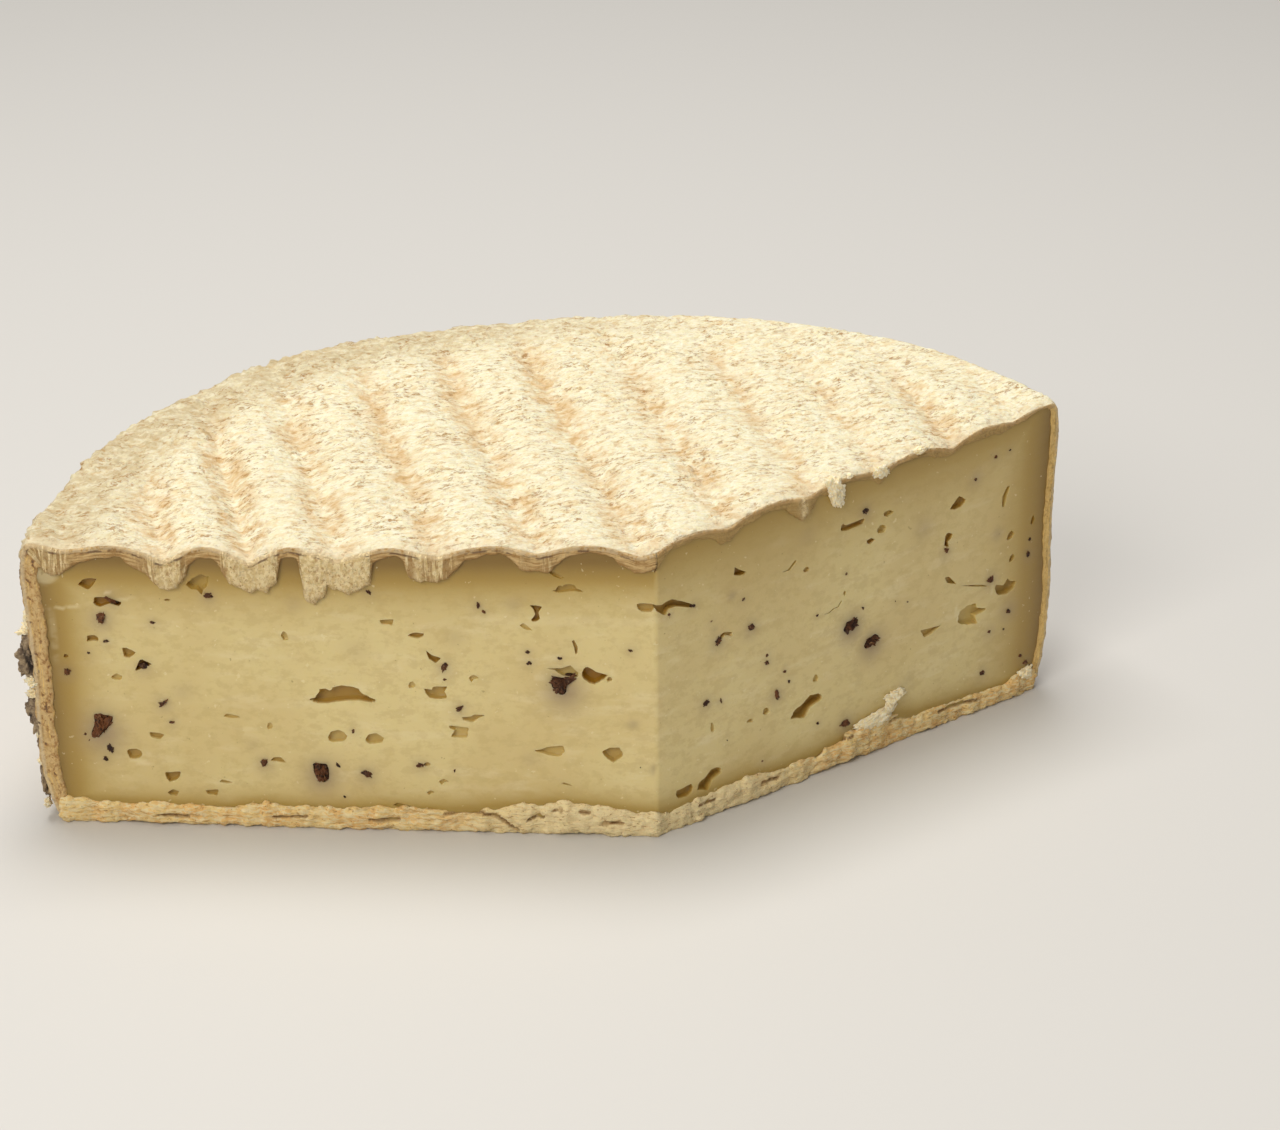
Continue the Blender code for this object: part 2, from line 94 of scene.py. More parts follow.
# Grooves between the ridges on the top, which run RIDGE_TURN off square to X: (across, depth)
GROOVES = (
    (-151, 1.6), (-131, 1.6), (-109, 3.0), (-89.5, 3.8), (-70, 2.4), (-48, 1.9), (-26, 2.2), (-3.5, 2.4),
    (19.5, 1.8), (42, 1.4), (61, 1.2), (83, 2.4), (102, 1.6), (122, 1.6), (142, 1.6),
)
RIDGE_TURN = math.radians(3)
RIDGE_WANDER = 0.7
WANDER_SCALE = 50.0
GROOVE_SOFTNESS = 0.07
# The grooves lose this share of their depth between these radii, where they are this far behind both cuts
GROOVE_FADE = 0.75
FADE_RADII = (95, 122)
FADE_BEHIND = (10, 40)
UNEVENNESS = 0.7
TOP_LUMP_SCALE = 22.0
RIM_LUMP_SCALE = 30.0
FLAT_BELOW = 3.0

# Cells of the meshes
TOP_CELL = 0.68
CUT_CELL = 0.45
RIM_COLUMNS = 340
RIM_CELL = 1.0
PASTE_CELL = 0.8
BACK_COLUMNS = 60
# The points inside the top: a triangle grid, a little shaken, that keeps some of a cell off the border
ROW_SHARE = 0.866
TOP_SHAKE = 0.12
TOP_CLEAR = 0.7
TOP_REACH = 140
TOP_DEPTH = 160
# How far the paste stays below the rind's surface and inside it at the back, and where it starts
PASTE_BELOW = 1.3
PASTE_BACK = 3.0
PASTE_FOOT = 1.5
# The paste's flat top under the rind, which starts PASTE_SHOULDER behind the cuts
PASTE_TOP = 69.0
PASTE_SHOULDER = 6.0
# The rind's relief: how large its lumps, flakes, crumbs, creases, fibres and grains are
LUMP_SIZE = 7.5
FLAKE_SIZE = (4.8, 2.1, 2.6)
CRUMB_SIZE = (2.3, 1.4, 1.6)
CREASE_SIZE = (5.2, 1.9, 3.0)
SIDE_SIZE = (2.6, 2.6, 5.0)
FIBRE_SIZE = (5.0, 0.55, 1)
GRAIN_SIZE = 0.95
# What a crumpled surface's height is on average, before it is taken off
CRUMPLE_MIDDLE = 0.22
# The rim's looks give way to the top's between these heights
RIM_LOOKS = (64, 73)

# The rind as the cuts show it: how thick it is at each distance from the corner
LEFT_RIND = (
    (0, 4.4), (5, 4.7), (8.3, 3.4), (10, 2.1), (16, 2.0), (20, 2.7), (22.7, 3.6), (24.4, 5.4), (27, 4.9),
    (31, 5.2), (32.8, 3.3), (35, 1.9), (39, 2.3), (41.5, 2.9), (44.3, 3.4), (45.7, 4.6), (48, 6.9),
    (50.5, 7.4), (55.5, 7.4), (57.2, 6.6), (57.8, 3.0), (60, 2.3), (62.3, 2.4), (65.3, 3.6), (66, 8.0),
    (68.4, 9.6), (71, 9.7), (73.1, 8.8), (76, 7.8), (76.8, 12.0), (79, 13.3), (81.3, 12.6), (82.2, 4.0),
    (82.7, 2.8), (86.6, 2.8), (87.2, 5.5), (87.6, 8.4), (90, 9.4), (92, 8.6), (96.5, 8.0), (98.7, 8.2),
    (100.4, 5.9), (101.2, 3.9), (102.3, 3.2), (105.2, 2.7), (108, 3.9), (109.5, 7.0), (111, 8.3),
    (112.7, 8.2), (116.7, 7.4), (118, 5.6), (121, 4.9), (122.8, 3.9), (123.8, 2.8), (126, 2.8),
    (130.8, 3.4), (134.6, 4.6), (137, 6.0), (138.5, 7.5), (142, 7.4), (146, 6.0),
)
RIGHT_RIND = (
    (0, 4.4), (1.5, 2.7), (4, 2.0), (12.7, 2.0), (15, 2.1), (17, 2.8), (18.5, 4.2), (21.5, 4.1), (23, 3.1),
    (24.5, 2.6), (30, 2.3), (33, 1.7), (38, 2.6), (39.4, 4.6), (41, 5.8), (42.6, 6.1), (44.4, 5.6),
    (45.8, 4.2), (47.2, 2.2), (48.6, 1.8), (52, 3.2), (55.5, 1.4), (61, 1.8), (64, 2.4), (67.3, 4.0),
    (70.5, 2.4), (71.5, 1.5), (80, 1.7), (85, 2.7), (89, 2.6), (91, 2.0), (94, 1.7), (98.7, 2.8),
    (106, 2.9), (108.7, 2.4), (111.3, 1.2), (114.6, 1.7), (118, 1.0), (126, 1.2),
)
LEFT_RIM_RIND = 4.4
RIGHT_RIM_RIND = 2.6
RIND_THIN = 3.0
RIND_THICK = 9.0
RIND_ROOT = -2.5
# Its inner edge is uneven in waves of this size
EDGE_SIZE = 2.6
# The travel along a cut's border counts from 0 on the left cut and from the second of these on the right one
RIGHT_TRAVEL = (390, 400)
# Cross-section of the cut rind: (share of the way in, share of how far it stands out)
BAND_ROWS = (
    (0.03, 0.35), (0.08, 0.75), (0.14, 1.0), (0.22, 1.0), (0.30, 0.95), (0.38, 1.0), (0.47, 1.0), (0.56, 1.0),
    (0.65, 1.0), (0.74, 1.0), (0.83, 0.95), (0.91, 0.85), (0.97, 0.6), (1.0, 0.2),
)
BAND_TUCK = -0.4
PROUD_THIN = 0.4
PROUD_THICK = 1.5
PROUD_BLUR = 3.0
PROUD_FROM = 4.0
EDGE_ROLL = 0.8
EDGE_ROLL_WIDTH = 3.0
CREASE_BEND = 1.5

# The base's rind, seen from the cuts: how tall it is at each distance from the corner
LEFT_BASE = (
    (0, 6.6), (6, 7.0), (14, 8.0), (24, 8.6), (34, 7.4), (42, 6.4), (50, 5.6), (62, 6.2), (75, 5.4),
    (86, 5.4), (95, 6.2), (103, 5.0), (118, 5.4), (130, 5.8), (138, 6.4), (146, 7.0),
)
RIGHT_BASE = (
    (0, 6.6), (6, 5.8), (16, 6.6), (28, 6.6), (36, 5.4), (48, 5.4), (56, 6.6), (62, 8.4), (70, 9.6),
    (76, 8.0), (82, 6.0), (92, 5.6), (104, 4.6), (112, 4.4), (118, 5.8), (126, 6.0),
)
BASE_PROUD = 1.1
BASE_CELL = 0.5
# How ragged its top is, in waves, and how large the pieces are that have broken off its foot
BASE_WAVE = 5.0
CHIP_SIZE = 13.0
CHIP_HEIGHT = 0.9
# How far it stops short of the rim, and how far in it goes behind the cuts, at its foot and at its top
BASE_SHORT = 1.2
BASE_ROOT = -4.0
BASE_TOP_ROOT = 3.0
BASE_DROP = 0.6
# Round the back it is a plain slab inside the rim
BASE_BACK = 3.2
BASE_BACK_HEIGHT = 3.0
BASE_BACK_SHARE = 0.98
# Painted light makes its looks brightest within the first of these distances from the corner
BRIGHT_REACH = (20, 60)
# Cross-section of the base's rind: (share of its height, share of how far it stands out)
BASE_ROWS = (
    (0.0, 0.1), (0.05, 0.6), (0.12, 0.85), (0.2, 1.0), (0.3, 1.0), (0.4, 0.9), (0.5, 1.0), (0.6, 1.05),
    (0.7, 1.0), (0.8, 0.9), (0.9, 0.7), (0.97, 0.4), (1.0, -0.1),
)

# Cracks in the base's rind, as lines of (from the corner, height) for each side
LEFT_CRACKS = (
    ((50.6, 5.1), (45.7, 6.0), (42.4, 5.9), (38.4, 4.7), (33.4, 1.2)),
    ((30.5, 4.1), (28.6, 4.9), (27.1, 4.7)), ((24.9, 6.8), (22.6, 7.0)), ((18.4, 6.9), (16, 6.7)),
    ((13, 3.8), (8.2, 3.9)), ((69, 2.7), (62, 3.1)), ((92, 3.0), (84, 3.4)), ((120, 3.0), (113, 2.4)),
)
RIGHT_CRACKS = (
    ((73.2, 7.0), (76.5, 7.2), (80.3, 5.9)), ((89.1, 4.2), (93.6, 4.4), (102.2, 3.8)),
    ((48.8, 5.4), (51, 6.4)), ((56.7, 7.2), (60.5, 7.4)), ((31.3, 4.2), (36, 4.0)), ((12, 4.6), (17, 4.2)),
)
CRACK_WIDTH = 0.45
CRACK_DEPTH = 0.9

# How the paste darkens below the top (twice), in from the rim (twice) and above the base: full up to, fading
# over, and how much. Partly the paste's own darker zone by the rind, partly painted shade: painted shadow
# right under the rind's edge, and in the second rim entry a broad painted falloff of light away from the
# corner
LEFT_SHADES = ((4.5, 7.5, 1.0), (4.5, 3.0, 1.0), (0.0, 8.0, 0.85), (0.0, 60.0, 0.18), (0.3, 4.0, 0.5))
RIGHT_SHADES = ((2.0, 3.0, 0.8), (2.0, 14.0, 0.6), (0.0, 11.0, 0.9), (0.0, 40.0, 0.14), (0.3, 4.0, 0.5))
# Pale smears on the cuts: millimetres from the corner, above the base, width, height, tilt and strength
LEFT_SMEARS = (
    (141.6, 66.0, 5.5, 4.6, -20, 0.55), (137.8, 57.6, 8.5, 0.7, -4, 0.6), (123.5, 60.4, 5.0, 0.8, 0, 0.5),
    (123.4, 16.8, 5.2, 1.3, 8, 0.6), (57.8, 26.2, 20.0, 2.2, 0, 0.35), (21.0, 57.0, 44.0, 2.6, 0, 0.3),
    (97, 46, 26.0, 1.6, 2, 0.25), (88, 33, 30.0, 1.8, -2, 0.2), (41, 12, 26.0, 1.8, 0, 0.2),
    (141.4, 50, 1.4, 16.0, 0, 0.25), (127.9, 61.9, 1.6, 1.0, 0, 0.8), (10.4, 43.2, 1.5, 3.4, 0, 0.5),
    (24.2, 47.6, 5.0, 1.6, 0, 0.5), (27.2, 42.2, 3.0, 2.2, 0, 0.5),
)
RIGHT_SMEARS = (
    (5.4, 45.8, 4.6, 1.2, 0, 0.5), (14.3, 21.4, 4.4, 1.4, 6, 0.6), (49, 33, 34.0, 2.0, 4, 0.2),
    (24, 38, 30.0, 1.8, 0, 0.2), (94.6, 30.4, 1.2, 5.0, 12, 0.6), (106.4, 33.8, 1.2, 3.6, 0, 0.5),
    (105, 14, 6.0, 1.2, -10, 0.5), (88, 20, 22.0, 1.6, 4, 0.2),
)

# Juniper that shows faintly through the paste: millimetres from the corner, above the base, radius, strength
LEFT_SPOTS = (
    (0.3, 18.4, 1.5, 0.7), (5.5, 30.2, 1.3, 0.55), (33, 61, 2.0, 0.35), (47, 52, 2.4, 0.25),
    (70, 48, 3.0, 0.2), (112, 36, 2.6, 0.25), (84, 60, 2.2, 0.25), (96, 22, 2.0, 0.25), (30, 20, 2.2, 0.25),
)
RIGHT_SPOTS = (
    (22.2, 57.4, 1.3, 0.6), (82, 57.6, 3.2, 0.35), (99, 66, 2.2, 0.45), (107.4, 48.5, 1.8, 0.5),
    (112.3, 25.6, 3.4, 0.5), (106, 21.6, 2.4, 0.4), (17, 50, 1.2, 0.4), (45, 66, 2.6, 0.25),
    (78, 16, 3.0, 0.25),
)

# Openings in the paste: outline, millimetres from the corner, above the base, width, height, tilt, darkness
# (how deep the opening is cut, and how much painted shade darkens its walls)
LEFT_EYES = (
    ("gem", 132.2, 63.9, 4.3, 3.0, 0, 0.8), ("plough", 128, 59.3, 6.4, 2.6, 0, 1.0),
    ("dome", 132.3, 49.7, 2.8, 1.8, 0, 0.8), ("boot", 123.8, 46.1, 3.1, 2.6, 0, 0.7),
    ("flame", 120.7, 42.9, 4.1, 3.0, 0, 1.0), ("bell", 106.4, 64.4, 5.4, 5.2, 0, 0.35),
    ("seed", 127.4, 39.6, 2.8, 1.8, 0, 0.3), ("round", 139, 44.8, 1.2, 1.1, 0, 0.8),
    ("seed", 113.8, 60.2, 1.5, 0.7, 0, 0.6), ("tub", 124.7, 18.9, 3.6, 2.8, 0, 0.6),
    ("bar", 118.9, 24, 3.4, 1.8, 0, 0.6), ("tile", 115.9, 13, 3.6, 2.9, 0, 0.7),
    ("seed", 116.2, 8.6, 2.7, 1.8, 0, 0.6), ("slab", 106.8, 8.8, 3.0, 1.7, 0, 0.6),
    ("drop", 103.2, 11.9, 3.2, 1.1, 0, 0.5), ("drop", 100.5, 29.8, 4.1, 1.3, 0, 0.3),
    ("round", 91.7, 27.4, 1.4, 1.9, 0, 0.1), ("diamond", 86.8, 51.5, 1.8, 2.4, 0, 0.3),
    ("arch", 90.3, 18.2, 3.6, 1.5, 0, 0.6), ("lens", 73.9, 36.4, 16.3, 4.9, 0, 0.75),
    ("round", 75.7, 25.1, 4.7, 3.4, 0, 0.4), ("round", 66.9, 24.7, 4.4, 3.0, 0, 0.4),
    ("round", 54.6, 18.1, 1.6, 1.2, 0, 0.4), ("cap", 50.8, 13.4, 2.4, 1.6, 0, 0.2),
    ("cap", 54, 10.3, 1.9, 1.4, 0, 0.2), ("drop", 61.1, 6.7, 4.0, 1.2, 0, 0.5),
    ("drop", 21.4, 13.7, 2.6, 0.6, 10, 0.5), ("slab", 62.7, 55.7, 3.3, 1.6, 0, 0.5),
    ("leaf", 56, 52.4, 3.9, 1.6, 0, 0.8), ("horn", 52.1, 46.9, 3.4, 3.2, 0, 0.8),
    ("coat", 52, 37.4, 5.5, 3.3, 0, 0.6), ("cap", 42.8, 41.4, 2.5, 2.0, 0, 0.2),
    ("round", 57.4, 39.3, 1.7, 1.9, 0, 0.15), ("boat", 43.2, 30.8, 5.6, 2.1, 0, 0.5),
    ("shelf", 46.7, 27.2, 4.3, 3.1, 0, 0.3), ("bent", 27.8, 58.7, 2.8, 4.3, 0, 0.9),
    ("drop", 30.2, 55.2, 3.1, 1.4, 20, 0.3), ("lens", 20.3, 65.5, 7.0, 2.3, 0, 0.5),
    ("leaf", 23.3, 69, 4.3, 1.2, 32, 0.6), ("thin", 19, 50.3, 1.3, 3.6, 0, 0.7),
    ("wave", 22, 44, 7.2, 3.0, 0, 0.35), ("kite", 14.5, 43, 6.1, 4.5, 0, 1.0),
    ("round", 11, 42.1, 1.3, 1.3, 0, 0.4), ("pear", 25.5, 22.6, 7.2, 2.9, 0, 0.35),
    ("heart", 10.5, 21.9, 4.8, 4.0, 0, 0.5), ("bar", 2.2, 61, 4.4, 2.4, -6, 0.6),
)
RIGHT_EYES = (
    ("slot", 4.9, 59.9, 11.0, 4.1, 0, 0.7), ("spike", 24.6, 63.2, 3.8, 2.8, 0, 0.9),
    ("bow", 20.5, 47.6, 3.6, 1.8, 0, 0.4), ("line", 39.7, 59.7, 4.7, 2.2, 0, 0.3),
    ("round", 45, 57.3, 2.0, 1.5, 0, 0.5), ("line", 52.4, 43.9, 3.5, 0.9, 0, 0.6),
    ("line", 55.2, 44.9, 2.2, 1.7, 0, 0.3), ("leaf", 57.2, 47.3, 1.0, 1.4, 0, 0.4),
    ("lever", 58.9, 65.2, 7.2, 2.4, 0, 0.8), ("leaf", 70.5, 64.9, 3.4, 1.7, 0, 0.4),
    ("round", 68.4, 61.3, 3.0, 2.4, 0, 0.35), ("leaf", 65.1, 59, 2.7, 1.6, 0, 0.9),
    ("gash", 45.8, 19.8, 9.6, 5.7, 0, 0.75), ("round", 33, 22.9, 2.0, 2.2, 30, 0.35),
    ("round", 28, 22, 2.0, 1.1, 0, 0.25), ("round", 48.5, 26.8, 1.9, 2.2, 0, 0.2),
    ("gash", 15.6, 10.1, 7.2, 5.4, 0, 0.6), ("block", 8.2, 9.3, 5.2, 3.0, 0, 0.75),
    ("quad", 93.4, 61.3, 5.2, 3.4, 0, 0.8), ("eight", 90.7, 51.9, 2.7, 4.0, 0, 0.8),
    ("thin", 109.6, 58.3, 2.5, 5.6, 0, 0.3), ("diamond", 119.4, 49.2, 1.4, 2.4, 0, 0.8),
    ("diamond", 111.9, 47.1, 2.6, 2.3, 0, 0.4), ("diamond", 112.7, 40.5, 1.9, 2.0, 0, 0.4),
    ("hook", 91.8, 40.3, 4.1, 3.0, 0, 0.5), ("drop", 100.2, 36.4, 9.4, 0.6, -18, 0.9),
    ("crown", 110.8, 32.9, 6.9, 4.3, 0, 0.6), ("ghost", 100, 28.2, 9.5, 6.2, 0, 0.15),
    ("arrow", 85.7, 28.2, 6.6, 2.3, 0, 0.5), ("round", 16.5, 24, 1.2, 3.0, 10, 0.25),
)
# Each outline's points across and up, as shares of its width and height
OUTLINES = {
    "arch": ((0.5, -0.2), (0.3, 0.4), (-0.2, 0.5), (-0.5, -0.5), (0.1, -0.3)),
    "arrow": ((-0.5, 0.5), (-0.2, 0.4), (0.5, 0.2), (0.1, -0.4), (-0.3, -0.5)),
    "bar": ((0.5, 0.5), (-0.1, 0.45), (-0.5, 0.15), (-0.2, -0.5), (0.3, -0.35), (0.5, 0)),
    "bell": (
        (0.5, -0.05), (0.2, 0.3), (-0.15, 0.5), (-0.5, 0.4), (-0.45, -0.05), (-0.25, -0.25), (-0.15, -0.5),
        (0.05, -0.25), (0.25, -0.25),
    ),
    "bent": (
        (0.5, 0.5), (-0.5, 0.45), (-0.2, 0.1), (-0.3, -0.3), (0.05, -0.5), (0.45, -0.4), (0.1, -0.05),
        (0.25, 0.3),
    ),
    "block": (
        (-0.46, 0.36), (-0.1, 0.4), (0.36, 0.5), (0.5, 0.12), (0.44, -0.3), (0.1, -0.5), (-0.34, -0.4),
        (-0.5, 0),
    ),
    "boat": ((0.5, 0.1), (0.1, 0.25), (-0.05, 0.5), (-0.5, 0.4), (-0.25, 0.1), (0.05, -0.5), (0.4, -0.3)),
    "boot": ((0.5, 0.45), (0.2, 0.5), (-0.5, 0.05), (0, -0.5), (0.45, -0.4)),
    "bow": ((-0.45, -0.45), (-0.5, 0.3), (-0.15, 0.5), (0.5, 0.1), (0.45, -0.5), (-0.05, 0)),
    "cap": ((0.5, 0.05), (0, 0.5), (-0.5, 0.05), (-0.05, -0.1), (0.25, -0.5)),
    "coat": (
        (0.5, 0.3), (0.15, 0.25), (0.05, 0.5), (-0.5, 0.5), (-0.4, 0.1), (-0.5, -0.35), (-0.25, -0.5),
        (0.25, -0.4),
    ),
    "crown": (
        (-0.5, 0), (-0.45, 0.35), (-0.1, 0.15), (0.1, 0.5), (0.25, 0.25), (0.5, 0.15), (0.45, -0.25),
        (0.15, -0.5), (-0.35, -0.4),
    ),
    "diamond": ((0.5, 0), (0.15, 0.5), (-0.3, 0.3), (-0.5, -0.45), (0.1, -0.5)),
    "dome": (
        (0.45, -0.05), (0.4, 0.35), (-0.15, 0.5), (-0.5, 0.2), (-0.5, -0.4), (-0.05, -0.35), (0.5, -0.5),
    ),
    "drop": ((0.5, -0.15), (0.3, 0.5), (-0.05, 0.3), (-0.5, -0.2), (0, -0.5)),
    "eight": ((-0.45, 0.3), (-0.2, 0.5), (0.5, 0.3), (0.35, 0), (-0.05, -0.15), (0.05, -0.5), (-0.5, -0.3)),
    "flame": ((0.5, -0.5), (0.25, 0.35), (0.05, 0.5), (-0.5, 0.1), (-0.05, -0.15), (0.3, -0.45)),
    "gash": (
        (-0.5, -0.3), (-0.4, 0.05), (-0.15, 0.2), (0.1, 0.5), (0.45, 0.4), (0.5, 0.1), (0.15, -0.1),
        (-0.05, -0.5),
    ),
    "gem": ((0.5, -0.1), (0.3, 0.3), (0, 0.5), (-0.5, 0.45), (-0.3, -0.1), (0, -0.5)),
    "ghost": (
        (-0.5, -0.15), (-0.5, 0.3), (-0.25, 0.5), (0.1, 0.5), (0.15, 0.25), (0.5, 0.05), (0.3, -0.05),
        (0.1, -0.1), (0.2, -0.5), (-0.2, -0.35),
    ),
    "heart": ((0.5, 0.25), (0.15, 0.5), (-0.35, 0.5), (-0.5, 0), (-0.05, -0.5), (0.35, -0.15)),
    "hook": ((-0.5, 0.5), (-0.1, 0.4), (0.5, -0.5), (-0.25, -0.1)),
    "horn": ((0.5, 0.5), (0.1, 0.15), (-0.5, -0.1), (-0.15, -0.5), (0.3, -0.2)),
    "kite": (
        (0.5, -0.05), (0.4, 0.4), (0.25, 0.5), (-0.05, 0.25), (-0.5, 0.05), (-0.35, -0.2), (0, -0.5),
        (0.25, -0.4),
    ),
    "leaf": ((0.5, -0.05), (0.05, 0.5), (-0.5, 0.35), (-0.4, -0.2), (-0.05, -0.5)),
    "lens": (
        (0.5, -0.3), (0.4, -0.2), (0.33, 0.25), (0.25, 0.3), (0.18, 0.2), (0.12, 0.4), (-0.03, 0.5),
        (-0.2, 0.4), (-0.3, 0.05), (-0.5, -0.3), (-0.4, -0.4), (-0.23, -0.3), (0.05, -0.4), (0.25, -0.5),
        (0.4, -0.5),
    ),
    "lever": (
        (-0.5, -0.05), (-0.4, 0.5), (-0.25, 0.15), (0.5, 0.25), (0.5, -0.35), (-0.15, -0.5), (-0.45, -0.35),
    ),
    "line": ((-0.5, -0.35), (-0.1, -0.3), (0.35, 0.5), (0.5, 0.3), (0, -0.5)),
    "pear": (
        (0.5, -0.05), (0.25, 0.1), (0.05, 0.35), (-0.45, 0.5), (-0.5, -0.05), (-0.35, -0.5), (0.05, -0.4),
    ),
    "peel": ((-0.5, 0.35), (0.35, 0.5), (0.5, 0.05), (-0.1, -0.25), (-0.4, -0.5)),
    "plough": (
        (0.5, 0), (0.45, 0.45), (0.2, 0.5), (-0.15, 0.3), (-0.5, 0.05), (-0.45, -0.4), (-0.1, -0.15),
        (0.25, -0.5), (0.45, -0.35),
    ),
    "quad": ((-0.5, -0.3), (-0.3, 0.05), (0.05, 0.5), (0.5, 0), (0.3, -0.4), (-0.15, -0.5)),
    "round": ((0.5, -0.1), (0.27, 0.4), (-0.15, 0.5), (-0.5, 0.1), (-0.4, -0.3), (0, -0.45), (0.35, -0.45)),
    "seed": ((0.5, -0.05), (0, 0.5), (-0.5, 0.15), (-0.3, -0.5), (0.25, -0.45)),
    "shelf": ((0.5, 0.5), (-0.5, 0.35), (-0.5, 0.1), (-0.4, -0.5), (0.45, -0.5), (0.25, 0.05), (0.5, 0.25)),
    "slab": ((0.5, 0.3), (-0.5, 0.5), (-0.4, -0.5), (-0.1, -0.4), (0.35, -0.3)),
    "slot": (
        (-0.5, 0.45), (-0.3, 0.35), (-0.05, 0.5), (0.1, 0.3), (0.5, -0.25), (0.5, -0.5), (0.1, -0.1),
        (-0.1, -0.1), (-0.2, -0.4), (-0.4, -0.05),
    ),
    "spike": ((-0.45, 0.5), (-0.15, 0.2), (0.5, -0.35), (0.15, -0.5), (-0.5, -0.2)),
    "tab": ((-0.5, 0.5), (0.35, 0.5), (0.5, -0.5), (0, -0.5), (-0.3, 0.05)),
    "thin": ((-0.45, -0.45), (-0.5, 0.05), (0.1, 0.5), (0.5, 0.45), (0.1, -0.05), (-0.1, -0.5)),
    "tile": ((0.5, 0.35), (0.15, 0.4), (-0.5, 0.5), (-0.45, 0), (-0.15, -0.4), (0.3, -0.5), (0.5, 0)),
    "tub": ((0.45, 0.4), (-0.15, 0.5), (-0.5, 0.2), (-0.45, -0.2), (-0.05, -0.5), (0.35, -0.4), (0.5, 0.1)),
    "wave": ((0.5, 0.2), (0.05, 0.25), (-0.25, 0.5), (-0.5, -0.1), (-0.45, -0.5), (0, -0.4), (0.25, 0.05)),
    "flag": (
        (-0.5, 0.4), (-0.2, 0.5), (0.1, 0.42), (0.45, 0.48), (0.5, 0.1), (0.4, -0.28), (0.1, -0.5),
        (-0.1, -0.4), (-0.14, 0.02), (-0.36, 0.22),
    ),
    "shard": (
        (-0.5, 0.42), (0, 0.5), (0.42, 0.46), (0.36, 0.1), (0.5, -0.35), (0.4, -0.5), (0.12, -0.4),
        (-0.25, -0.02),
    ),
    "bean": (
        (-0.5, -0.2), (-0.3, 0.3), (0, 0.34), (0.2, 0.5), (0.5, 0.2), (0.4, -0.2), (0, -0.4), (-0.35, -0.5),
    ),
}
EYE_POINTS = 4
# How far an outline between its points follows a curve instead of a straight line, and how ragged it is
EYE_CURVE = 0.5
EYE_RAGGED = 0.05
# An opening from its mouth inwards: (size, depth), as shares
EYE_BOWL = ((1.03, -0.3), (1.0, 0.0), (0.98, 0.4), (0.93, 0.75), (0.8, 0.95), (0.5, 1.0))
# An opening's depth: a share of the smaller side, and a share of it for its darkness
EYE_DEPTHS = (0.2, 0.24)
EYE_SHALLOWEST = 0.35
SHARP_ANGLE = math.radians(42)
# An opening's darkness, its painted shade, reaches this many of its sizes from its middle
EYE_REACH = 0.8
# A smear's soft border, as shares of its half-size, and how far juniper greys the paste for its size
SMEAR_BORDER = (1.25, 0.7)
GREY_SHARE = 0.24
GREY_REACH = (1.0, 0.7)

# The juniper berries, each in place of the node with its number: outline, millimetres from the corner, above
# the base, width, height, tilt, and redness
LEFT_BERRIES = (
    ("shard", 132, 26, 5.0, 7.2, 8, 0.9), ("flag", 21.8, 40.2, 5.8, 5.0, 0, 0.35),
    ("block", 80, 15.2, 3.5, 5.6, -12, 0.7),
)
RIGHT_BERRIES = (("bean", 59.4, 38.1, 4.7, 3.4, 0, 0.35), ("bean", 66.2, 31.5, 4.8, 3.3, 0, 0.45))
BERRY_DEPTH = 4.0
BERRY_SUNK = 1.2
BERRY_GAP = 0.35

# Crushed juniper in the paste: millimetres from the corner, above the base, width, height
LEFT_SPECKS = (
    (129.7, 55.3, 2.1, 3.6), (127.2, 60.0, 3.4, 1.0), (129.1, 49.1, 1.6, 0.8), (104.1, 61.7, 2.3, 1.3),
    (117.8, 54.3, 1.5, 1.0), (116.6, 32.9, 2.6, 1.2), (115.1, 27.8, 1.5, 0.8), (130.4, 20.3, 2.2, 2.0),
    (131.8, 17.5, 1.3, 1.4), (139.1, 40.8, 1.5, 1.9), (120.7, 42.6, 2.0, 1.6), (93.5, 17.3, 2.4, 1.8),
    (71.9, 26.6, 0.7, 1.3), (69.2, 15.3, 3.0, 1.9), (76, 17.3, 0.9, 1.6), (56.3, 17.9, 2.0, 1.3),
    (49.7, 44.4, 1.6, 2.4), (46.3, 33.3, 2.2, 1.4), (41.2, 60.6, 0.7, 1.7), (40, 59, 0.9, 0.8),
    (30, 48.8, 1.2, 0.9), (29.7, 45.9, 1.3, 1.1), (6.1, 49.8, 1.3, 0.7), (3.9, 18.7, 0.5, 0.8),
    (22.5, 47.3, 1.2, 0.8), (66.5, 63.5, 1.4, 1.2), (49.7, 41, 0.9, 0.6), (136.2, 24, 0.7, 0.7),
    (109.5, 67.2, 1.0, 0.8), (48.1, 16.5, 0.7, 0.7), (133.5, 45.8, 0.8, 0.6), (74.8, 8.6, 0.8, 0.6),
)
